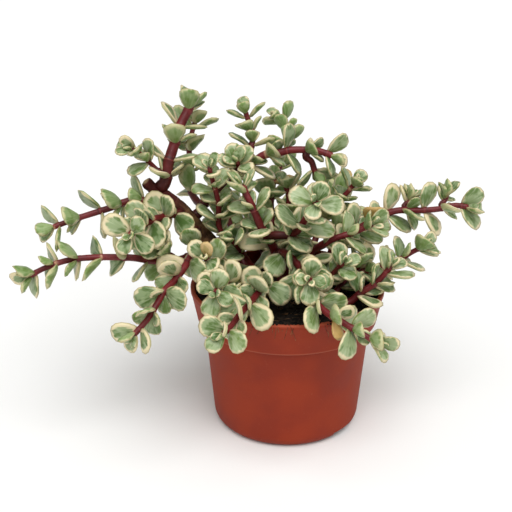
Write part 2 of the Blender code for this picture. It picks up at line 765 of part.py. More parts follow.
def stem_stops(path, joints):
    """Distances along the stem of the rings that shape it, closer together where it bends."""
    start = (path.buried or path.radii[0]) + 0.3 * MM
    stops = [start]
    last = path.index(start)
    for i in range(last + 2, len(path.points)):
        if sag(path, last, i) > STEM_SAG * path.radius(path.reach[i]):
            last = i - 1
            stops.append(path.reach[last])
    fixed = [0.0, start, path.length, *joints]
    stops = [s for s in stops if all(abs(s - other) > STEM_RING_GAP for other in fixed)]
    return sorted({*fixed, *stops})


def side_joints(name, paths):
    """Distances along a stem of the places where its side stems leave it."""
    parent = paths[name]
    sides = [other for other, spec in STEMS.items() if spec["base"] == name]
    return [parent.reach[parent.nearest(paths[other].points[0])] for other in sides]


def stem_mesh(name, path, joints):
    """A tapered stem as a bevelled curve made a mesh, with a ring where each side stem leaves."""
    curve = bpy.data.curves.new(name, "CURVE")
    curve.dimensions = "3D"
    curve.bevel_depth = 1
    curve.bevel_resolution = 1
    curve.use_fill_caps = True
    stops = stem_stops(path, joints)
    spline = curve.splines.new("POLY")
    spline.points.add(len(stops) - 1)
    for point, stop in zip(spline.points, stops):
        i = path.index(stop)
        point.co = (*path.points[i], 1)
        point.radius = path.radius(stop)
    guide = bpy.data.objects.new(name, curve)
    bpy.context.scene.collection.objects.link(guide)
    graph = bpy.context.evaluated_depsgraph_get()
    mesh = bpy.data.meshes.new_from_object(guide.evaluated_get(graph))
    bpy.data.objects.remove(guide)
    bpy.data.curves.remove(curve)
    bm = bmesh.new()
    bm.from_mesh(mesh)
    bmesh.ops.remove_doubles(bm, verts=bm.verts, dist=MERGE)
    bmesh.ops.recalc_face_normals(bm, faces=bm.faces)
    bm.to_mesh(mesh)
    bm.free()
    return mesh


def make_stem(name, path, joints, matrices, leaf, parts, skin):
    """The stem with its leaves joined to it in one solid."""
    made = add_object(name, stem_mesh(name, path, joints), parts)
    if matrices:
        pieces = new_collection(f"{name}_leaves")
        for number, matrix in enumerate(matrices):
            piece = add_object(f"{name}_leaf_{number}", leaf.copy(), pieces)
            piece.data.transform(matrix)
        union = made.modifiers.new("leaves", "BOOLEAN")
        union.operation = "UNION"
        union.operand_type = "COLLECTION"
        union.collection = pieces
        union.solver = "MANIFOLD"
        apply_modifiers(made)
        for piece in list(pieces.objects):
            bpy.data.objects.remove(piece)
        bpy.data.collections.remove(pieces)
    made.data.materials.clear()
    made.data.materials.append(skin)
    return made


def main():
    for obj in list(bpy.data.objects):
        bpy.data.objects.remove(obj)
    parts = new_collection("elephant_bush")
    cutters = new_collection("cutters")
    paths = {}
    for name, spec in STEMS.items():
        paths[name] = stem_path(spec, paths)
    leaf = leaf_shape()
    grown, _, _ = grow_leaves(paths, leaf)
    make_pot(parts, cutters)
    make_soil(parts, cutters, paths)
    wood = material("brown_wood", WOOD_BROWN, 0.8)
    green = material("fleshy_leaf", LEAF_GREEN, 0.45)
    for name, path in paths.items():
        if grown[name]:
            skin = green
        else:
            skin = wood
        make_stem(name, path, side_joints(name, paths), grown[name], leaf, parts, skin)
    bpy.data.meshes.remove(leaf)
    for cutter in list(cutters.objects):
        bpy.data.objects.remove(cutter)
    bpy.data.collections.remove(cutters)


main()
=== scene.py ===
import math
import random

import bmesh
import bpy
import numpy as np
from mathutils import Matrix, Vector, noise
from mathutils.bvhtree import BVHTree


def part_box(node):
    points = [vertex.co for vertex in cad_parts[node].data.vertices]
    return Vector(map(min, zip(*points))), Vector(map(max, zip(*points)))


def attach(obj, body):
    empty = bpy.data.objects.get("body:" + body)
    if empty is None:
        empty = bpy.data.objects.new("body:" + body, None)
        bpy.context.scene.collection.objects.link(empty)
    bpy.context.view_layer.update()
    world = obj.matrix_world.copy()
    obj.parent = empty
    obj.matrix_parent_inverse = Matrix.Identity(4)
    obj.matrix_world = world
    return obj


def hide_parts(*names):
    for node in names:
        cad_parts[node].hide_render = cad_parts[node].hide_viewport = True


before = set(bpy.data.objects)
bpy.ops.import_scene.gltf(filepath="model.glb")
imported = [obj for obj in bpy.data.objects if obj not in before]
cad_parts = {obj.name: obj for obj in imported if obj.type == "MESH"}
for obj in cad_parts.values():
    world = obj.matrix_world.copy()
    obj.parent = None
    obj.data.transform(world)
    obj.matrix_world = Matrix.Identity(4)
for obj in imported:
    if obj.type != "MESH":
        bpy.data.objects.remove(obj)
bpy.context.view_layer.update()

MM = 0.001

# The pot
# A 12 cm nursery pot, injection moulded in terracotta-coloured polypropylene: a thin wall with a
# deep collar under the rim, a rounded foot, drain holes and two cut-outs in the edge of the base.

RIM_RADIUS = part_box("pot")[1][0]
POT_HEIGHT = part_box("pot")[1][2]
RIM_WIDTH = 2.4 * MM
COLLAR_FOOT_RADIUS = 56.0 * MM
COLLAR_FOOT_HEIGHT = 69.5 * MM
WALL_TOP_RADIUS = 52.0 * MM
WALL_FOOT_RADIUS = 46.4 * MM
FOOT_BEND = 7.0 * MM
WALL = 1.3 * MM
FLOOR_THICKNESS = 1.8 * MM
POT_STEPS = 144
CUT_OUT_WIDTH = 17 * MM
CUT_OUT_HEIGHT = 4.5 * MM
CUT_OUT_ANGLES = (-40, 140)
DRAIN_RADIUS = 3.5 * MM
DRAIN_CIRCLE = 27 * MM
DRAIN_COUNT = 6


def srgb(code):
    """An sRGB hex colour as linear red, green, blue and alpha."""
    channels = [int(code[i : i + 2], 16) / 255 for i in (1, 3, 5)]
    linear = [c / 12.92 if c <= 0.04045 else ((c + 0.055) / 1.055) ** 2.4 for c in channels]
    return (*linear, 1.0)


def add_node(tree, kind, links=None, **settings):
    """A shader node with its settings, and its inputs set to values or linked to sockets."""
    node = tree.nodes.new(kind)
    for name, value in settings.items():
        setattr(node, name, value)
    for name, value in (links or {}).items():
        if isinstance(value, bpy.types.NodeSocket):
            tree.links.new(value, node.inputs[name])
        else:
            node.inputs[name].default_value = value
    return node


def new_material(name, roughness=0.5, specular=0.5):
    """A material with its tree and its Principled shader."""
    made = bpy.data.materials.new(name)
    made.use_nodes = True
    tree = made.node_tree
    shader = tree.nodes["Principled BSDF"]
    shader.inputs["Roughness"].default_value = roughness
    shader.inputs["Specular IOR Level"].default_value = specular
    return made, tree, shader


def coated(tree, base, coat, share, *limits):
    """The base colour with a coat over it, up to a share of it. Each limit is a value that the coat
    follows, with where it starts to come in and where it is full."""
    for value, start, end in limits:
        eased = {"Value": value, "From Min": start, "From Max": end, "To Max": share}
        share = add_node(tree, "ShaderNodeMapRange", eased, interpolation_type="SMOOTHSTEP").outputs[0]
    return add_node(tree, "ShaderNodeMix", {0: share, 6: base, 7: coat}, data_type="RGBA").outputs[2]


def finished(tree, shader, colour, height, strength, distance):
    """Gives the shader its colour, and a bump of that height, strength and distance."""
    relief = {"Height": height, "Strength": strength, "Distance": distance}
    bump = add_node(tree, "ShaderNodeBump", relief)
    tree.links.new(bump.outputs["Normal"], shader.inputs["Normal"])
    tree.links.new(colour, shader.inputs["Base Color"])


def mesh_from(name, bm):
    """A mesh from a bmesh that is done."""
    mesh = bpy.data.meshes.new(name)
    bm.to_mesh(mesh)
    bm.free()
    return mesh


def placed(name, data):
    """A new object in the scene with that mesh, light or camera."""
    made = bpy.data.objects.new(name, data)
    bpy.context.scene.collection.objects.link(made)
    return made


def new_piece(name, bm, materials, nodes=()):
    """A finished piece from a bmesh, riding on the object's one body, with its materials, hiding the
    model's parts it stands for.
    """
    piece = placed(name, mesh_from(name, bm))
    piece.data.shade_smooth()
    for finish in materials:
        piece.data.materials.append(finish)
    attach(piece, "root")
    if nodes:
        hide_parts(*nodes)
    return piece


def arc(middle_radius, middle_height, size, start, end, count):
    """Profile corners along an arc, with angles in degrees from straight out."""
    for k in range(count + 1):
        angle = math.radians(start + (end - start) * k / count)
        yield middle_radius + size * math.cos(angle), middle_height + size * math.sin(angle)


def spun(profile, steps):
    """A closed turned shape from a profile of (radius, height) corners."""
    bm = bmesh.new()
    verts = [bm.verts.new((radius, 0, height)) for radius, height in profile]
    edges = [bm.edges.new(pair) for pair in zip(verts, verts[1:])]
    bmesh.ops.spin(
        bm, geom=verts + edges, cent=(0, 0, 0), axis=(0, 0, 1), dvec=(0, 0, 0),
        angle=2 * math.pi, steps=steps, use_merge=True, use_normal_flip=False, use_duplicate=False,
    )
    bmesh.ops.remove_doubles(bm, verts=bm.verts, dist=0.01 * MM)
    bmesh.ops.recalc_face_normals(bm, faces=bm.faces)
    return bm


def pot_profile():
    """From the middle of the floor, up the inside, over the rim and down the outside."""
    ledge = COLLAR_FOOT_HEIGHT
    inner = RIM_RADIUS - RIM_WIDTH
    bend = FOOT_BEND - WALL
    low = WALL_FOOT_RADIUS - WALL - bend
    corners = [(0, FLOOR_THICKNESS)]
    corners += arc(low, FLOOR_THICKNESS + bend, bend, -90, 0, 8)
    corners += [(WALL_TOP_RADIUS - WALL, ledge - 1.5 * MM)]
    corners += [(COLLAR_FOOT_RADIUS - WALL, ledge + WALL), (inner, POT_HEIGHT - 1.2 * MM)]
    corners += arc(inner + 0.6 * MM, POT_HEIGHT - 0.6 * MM, 0.6 * MM, 180, 90, 4)
    corners += arc(RIM_RADIUS - 0.8 * MM, POT_HEIGHT - 0.8 * MM, 0.8 * MM, 90, 0, 5)
    corners += [(RIM_RADIUS - 0.1 * MM, POT_HEIGHT - 2.6 * MM)]
    corners += [(RIM_RADIUS - 0.5 * MM, POT_HEIGHT - 3.3 * MM)]
    corners += arc(COLLAR_FOOT_RADIUS - 0.7 * MM, ledge + 0.7 * MM, 0.7 * MM, 0, -90, 4)
    corners += [(WALL_TOP_RADIUS + 0.3 * MM, ledge - 0.1 * MM), (WALL_TOP_RADIUS, ledge - 0.8 * MM)]
    corners += arc(WALL_FOOT_RADIUS - FOOT_BEND, FOOT_BEND, FOOT_BEND, 0, -90, 10)
    corners += [(0, 0)]
    return corners


def cut_away(piece, cutter):
    """Takes a closed bmesh's shape out of the piece."""
    tool = placed("cutter", mesh_from("cutter", cutter))
    difference = piece.modifiers.new("cut", "BOOLEAN")
    difference.operation = "DIFFERENCE"
    difference.object = tool
    graph = bpy.context.evaluated_depsgraph_get()
    result = bpy.data.meshes.new_from_object(piece.evaluated_get(graph))
    piece.modifiers.clear()
    piece.data = result
    bpy.data.objects.remove(tool)


def polypropylene():
    """Moulded polypropylene: a matt skin, faintly mottled, paler where handling has rubbed the rim, with a
    painted highlight along the ledge, painted shade in the corner below the collar, and darker low on the
    wall."""
    made, tree, shader = new_material("moulded_polypropylene", specular=0.16)
    place = add_node(tree, "ShaderNodeTexCoord").outputs["Object"]
    cloud = add_node(tree, "ShaderNodeTexNoise", {"Vector": place, "Scale": 38, "Detail": 4}).outputs[0]
    fine = add_node(tree, "ShaderNodeTexNoise", {"Vector": place, "Scale": 900, "Detail": 3}).outputs[0]
    height = add_node(tree, "ShaderNodeSeparateXYZ", {"Vector": place}).outputs["Z"]
    ledge = COLLAR_FOOT_HEIGHT
    base = coated(tree, srgb("#862E1A"), srgb("#92351D"), 1.0, (cloud, 0.35, 0.65))
    base = coated(tree, base, srgb("#B0664C"), 0.25, (fine, 0.62, 0.80))
    rim = (height, POT_HEIGHT - 1.6 * MM, POT_HEIGHT - 0.2 * MM)
    base = coated(tree, base, srgb("#AE5A40"), 0.45, rim)
    # Painted shade: a dark band in the corner just below the collar's ledge
    near = (height, ledge - 2.5 * MM, ledge - 0.5 * MM)
    painted_shade_under_ledge = (height, ledge + 0.3 * MM, ledge - 0.2 * MM)
    base = coated(tree, base, srgb("#5E2414"), 0.5, near, painted_shade_under_ledge)
    # Painted highlight: a paler band along the edge of the ledge
    painted_highlight_on_ledge = (height, ledge + 1.4 * MM, ledge + 0.5 * MM)
    above = (height, ledge - 0.1 * MM, ledge + 0.3 * MM)
    base = coated(tree, base, srgb("#C07A60"), 0.25, painted_highlight_on_ledge, above)
    # Darker low on the wall, towards the foot
    base = coated(tree, base, srgb("#7A3626"), 0.25, (height, 9 * MM, 1 * MM))
    eased = {"Value": cloud, "From Min": 0.3, "From Max": 0.7, "To Min": 0.56, "To Max": 0.70}
    rough = add_node(tree, "ShaderNodeMapRange", eased, interpolation_type="SMOOTHSTEP")
    tree.links.new(rough.outputs[0], shader.inputs["Roughness"])
    finished(tree, shader, base, fine, 0.08, 0.2 * MM)
    return made


pot = new_piece("nursery_pot", spun(pot_profile(), POT_STEPS), [], ["pot"])
for angle in CUT_OUT_ANGLES:
    block = bmesh.new()
    facing = math.radians(angle)
    middle = WALL_FOOT_RADIUS - FOOT_BEND + 8 * MM
    bmesh.ops.create_cube(block, size=1)
    bmesh.ops.scale(block, vec=(14 * MM, CUT_OUT_WIDTH, 2 * CUT_OUT_HEIGHT), verts=block.verts)
    bmesh.ops.translate(block, vec=(middle, 0, 0), verts=block.verts)
    bmesh.ops.rotate(block, matrix=Matrix.Rotation(facing, 3, "Z"), verts=block.verts)
    cut_away(pot, block)
for number in range(DRAIN_COUNT):
    angle = 2 * math.pi * number / DRAIN_COUNT
    peg = bmesh.new()
    bmesh.ops.create_cone(
        peg, cap_ends=True, segments=32, radius1=DRAIN_RADIUS, radius2=DRAIN_RADIUS, depth=8 * MM
    )
    place = (DRAIN_CIRCLE * math.cos(angle), DRAIN_CIRCLE * math.sin(angle), 0)
    bmesh.ops.translate(peg, vec=place, verts=peg.verts)
    cut_away(pot, peg)
pot.data.materials.clear()
pot.data.materials.append(polypropylene())
pot.data.shade_smooth()
pot.data.set_sharp_from_angle(angle=math.radians(35))

# The soil
# Dark moist peat with fibres and bits of bark, filled to a little below the rim and higher in
# front, where crumbs and fibres have spilled over the rim and onto the collar.

SOIL_HEIGHT = 84 * MM
SOIL_SLOPE = 0.045
SOIL_ROUGHNESS = 1.1 * MM
SOIL_RINGS = 44
SOIL_STEPS = 120
CRUMB_COUNT = 420
BARK_COUNT = 46
FIBRE_COUNT = 70
FIBRE_PIECES = 5
# A full turn in radians, near enough for what lies at random
ALL_ROUND = 6.3


def soil_top(x, y):
    """Height of the soil there: higher in front, lower at the back, and lumpy."""
    lumps = math.sin(x * 210 + 1.3) * math.cos(y * 190 + 0.4) + 0.6 * math.sin(x * 390 - y * 330)
    edge = max(0.0, math.hypot(x, y) - 0.9 * RIM_RADIUS) * 0.35
    return SOIL_HEIGHT - SOIL_SLOPE * y + SOIL_ROUGHNESS * lumps - edge


def crumbly(x, y):
    """The soil's surface with its crumb."""
    grain = noise.fractal(Vector((x, y, 0)) * 260, 0.9, 2.1, 4)
    return soil_top(x, y) + 0.9 * MM * grain


def peat():
    """Peat: almost black when moist, matt, with brown crumbs that have dried."""
    made, tree, shader = new_material("moist_peat", roughness=0.95, specular=0.2)
    place = add_node(tree, "ShaderNodeTexCoord").outputs["Object"]
    crumb = add_node(tree, "ShaderNodeTexNoise", {"Vector": place, "Scale": 420, "Detail": 6}).outputs[0]
    patch = add_node(tree, "ShaderNodeTexNoise", {"Vector": place, "Scale": 90, "Detail": 3}).outputs[0]
    colour = coated(tree, srgb("#0E0B08"), srgb("#2C2018"), 1.0, (crumb, 0.42, 0.68))
    colour = coated(tree, colour, srgb("#3E2C1E"), 0.5, (patch, 0.58, 0.72))
    finished(tree, shader, colour, crumb, 0.7, 0.8 * MM)
    return made


def soil_profile():
    """From the middle of the top, out to the wall, and down inside the pot to its floor."""
    top = RIM_RADIUS - RIM_WIDTH - 0.4 * MM
    side = WALL + 0.1 * MM
    corners = [(top * k / SOIL_RINGS, SOIL_HEIGHT) for k in range(SOIL_RINGS + 1)]
    corners += [(COLLAR_FOOT_RADIUS - side, COLLAR_FOOT_HEIGHT + WALL + 0.5 * MM)]
    corners += [(WALL_TOP_RADIUS - side - 0.2 * MM, COLLAR_FOOT_HEIGHT - 1.8 * MM)]
    bend = FOOT_BEND - WALL
    corners += arc(WALL_FOOT_RADIUS - side - bend, FLOOR_THICKNESS + bend + 0.1 * MM, bend, 0, -90, 5)
    corners += [(0, FLOOR_THICKNESS + 0.1 * MM)]
    return corners


earth = spun(soil_profile(), SOIL_STEPS)
for vert in earth.verts:
    if vert.co.z > SOIL_HEIGHT - 0.1 * MM:
        vert.co.z = crumbly(vert.co.x, vert.co.y)
MOIST_PEAT = peat()
new_piece("peat_filling", earth, [MOIST_PEAT], ["soil"])


def scattered(bm, tools, place, size, turn, draw):
    """Moves a new little shape to its place, with its own size and turn."""
    spin = Matrix.Rotation(draw.uniform(0, math.pi), 4, Vector((draw.random(), draw.random(), 1)))
    matrix = Matrix.Translation(place) @ turn @ spin @ Matrix.Diagonal((*size, 1))
    bmesh.ops.transform(bm, matrix=matrix, verts=tools)


def soil_spot(draw, reach=1.0):
    """A random place on the soil."""
    away = (RIM_RADIUS - RIM_WIDTH - 1.5 * MM) * math.sqrt(draw.random()) * reach
    angle = draw.uniform(0, 2 * math.pi)
    x, y = away * math.cos(angle), away * math.sin(angle)
    return Vector((x, y, crumbly(x, y)))


# One crumb in twelve lies on the rim, and one in twelve has fallen onto the collar
crumbs = bmesh.new()
draw = random.Random(4)
for number in range(CRUMB_COUNT):
    lump = bmesh.ops.create_icosphere(crumbs, subdivisions=1, radius=1)["verts"]
    for vert in lump:
        vert.co *= draw.uniform(0.75, 1.2)
    size = draw.choice((0.5, 0.7, 0.9, 1.4)) * MM
    spot = soil_spot(draw) + Vector((0, 0, 0.3 * size))
    if number % 12 == 0:
        angle = math.radians(draw.gauss(-90, 24))
        away = RIM_RADIUS - draw.uniform(0.4, 2.2) * MM
        size *= 0.7
        spot = Vector((away * math.cos(angle), away * math.sin(angle), POT_HEIGHT + 0.3 * size))
    if number % 12 == 6:
        angle = math.radians(draw.gauss(-55, 8))
        fallen = draw.random() ** 3
        away = RIM_RADIUS + fallen * (COLLAR_FOOT_RADIUS - RIM_RADIUS)
        height = POT_HEIGHT - (0.5 + 16 * fallen) * MM
        spot = Vector((away * math.cos(angle), away * math.sin(angle), height))
    stretch = (size * draw.uniform(0.8, 1.4), size, size * draw.uniform(0.6, 1.0))
    scattered(crumbs, lump, spot, stretch, Matrix.Identity(4), draw)
new_piece("peat_crumbs", crumbs, [MOIST_PEAT])


def bark_bits():
    """Chipped bark and fibres: dry, tan to dark brown, each bit its own shade."""
    made, tree, shader = new_material("chipped_bark", roughness=0.85, specular=0.25)
    place = add_node(tree, "ShaderNodeTexCoord").outputs["Object"]
    shade = add_node(tree, "ShaderNodeTexNoise", {"Vector": place, "Scale": 160, "Detail": 2}).outputs[0]
    grain = add_node(tree, "ShaderNodeTexNoise", {"Vector": place, "Scale": 1400, "Detail": 2}).outputs[0]
    colour = coated(tree, srgb("#2E1D12"), srgb("#7D5A3A"), 1.0, (shade, 0.4, 0.65))
    colour = coated(tree, colour, srgb("#A58660"), 0.4, (grain, 0.5, 0.7))
    tree.links.new(colour, shader.inputs["Base Color"])
    return made


# Chips of bark lie on the soil, and one fibre in five hangs over the rim
bits = bmesh.new()
draw = random.Random(9)
for number in range(BARK_COUNT):
    chip = bmesh.ops.create_cube(bits, size=1)["verts"]
    size = draw.uniform(1.5, 4.2) * MM
    spot = soil_spot(draw) + Vector((0, 0, 0.5 * MM))
    tilt = Matrix.Rotation(draw.uniform(-0.5, 0.5), 4, "X")
    lean = tilt @ Matrix.Rotation(draw.uniform(0, ALL_ROUND), 4, "Z")
    matrix = Matrix.Translation(spot) @ lean @ Matrix.Diagonal((size, 0.4 * size, 0.6 * MM, 1))
    bmesh.ops.transform(bits, matrix=matrix, verts=chip)
for number in range(FIBRE_COUNT):
    length = draw.uniform(6, 18) * MM
    bend = draw.uniform(-0.5, 0.5)
    spot = soil_spot(draw, 0.82) + Vector((0, 0, 0.7 * MM))
    if number % 5 == 0:
        angle = math.radians(draw.uniform(-112, -66))
        away = RIM_RADIUS - 1.5 * MM
        spot = Vector((away * math.cos(angle), away * math.sin(angle), POT_HEIGHT + 0.5 * MM))
        length *= 0.6
    ring = bmesh.ops.create_circle(bits, cap_ends=True, segments=3, radius=0.15 * MM)["verts"]
    strand = list(ring)
    edges = list(ring[0].link_faces[0].edges)
    for piece in range(FIBRE_PIECES):
        made = bmesh.ops.extrude_edge_only(bits, edges=edges)["geom"]
        ends = [item for item in made if isinstance(item, bmesh.types.BMVert)]
        edges = [item for item in made if isinstance(item, bmesh.types.BMEdge) and item.is_boundary]
        step = (bend * length * (0.1 - 0.06 * piece), 0, length / FIBRE_PIECES)
        bmesh.ops.translate(bits, vec=step, verts=ends)
        strand += ends
    bmesh.ops.contextual_create(bits, geom=edges)
    tip = Matrix.Rotation(math.radians(draw.uniform(80, 96)), 4, "Y")
    lean = Matrix.Rotation(draw.uniform(0, ALL_ROUND), 4, "Z") @ tip
    if number % 5 == 0:
        tip = Matrix.Rotation(math.radians(draw.uniform(110, 150)), 4, "Y")
        lean = Matrix.Rotation(angle + draw.uniform(-0.6, 0.6), 4, "Z") @ tip
    bmesh.ops.transform(bits, matrix=Matrix.Translation(spot) @ lean, verts=strand)
bmesh.ops.recalc_face_normals(bits, faces=bits.faces)
new_piece("bark_and_fibres", bits, [bark_bits()])


# The stems
# Jointed fleshy stems, wine red while young and browner with age, with a swollen ring at every
# leaf pair and pale scars where leaves have dropped. They root in the soil or fork off each other.

SOIL = "soil"
ROOT_DEPTH = 22 * MM
SEAT_GAP = 0.7 * MM
# How far the foot of a stem's skin reaches back into what carries it
ROOTED = 1.8 * MM
MERGE = 0.001 * MM
STEM_CLEARANCE = 0.5 * MM
# How far a stem's straight pieces may stray from its curve, as a share of its radius
STEM_SAG = 0.12
STEM_RING_GAP = 2 * MM
STEM_STEP = 1.2 * MM
STEM_AROUND = 12

# Routes are written as they are seen from the front, 22 degrees above level:
# millimetres right and up from the middle of the view, and toward the eye
VIEW_ELEVATION = math.radians(22.3)
VIEW_DISTANCE = 593
VIEW_MIDDLE = Vector((-19.4, 0, 108.7))
VIEW_UP = Vector((0, math.sin(VIEW_ELEVATION), math.cos(VIEW_ELEVATION)))
VIEW_TOWARD = Vector((0, -math.cos(VIEW_ELEVATION), math.sin(VIEW_ELEVATION)))


def stem(
    base, route, radii=(2.2, 1.5), leaf=17, every=12, first=9, turn=0, facing=0.75, opened=0, bushy=0.8
):
    """One stem: what carries it, its route, its radii at the foot and tip, and how its leaves sit.

    leaf is a full leaf's length and every the distance between pairs, in millimetres. turn is the
    first pair's angle round the stem from the viewer's side, in degrees. facing is how far the
    leaves roll to the light, opened how many degrees wider the tip's leaves spread, and bushy
    the share of the pairs that have smaller leaves between them.
    """
    return {
        "base": base,
        "route": route,
        "radii": [r * MM for r in radii],
        "leaf": leaf * MM,
        "every": every * MM,
        "first": first * MM,
        "turn": math.radians(turn),
        "facing": facing,
        "opened": opened,
        "bushy": bushy,
    }


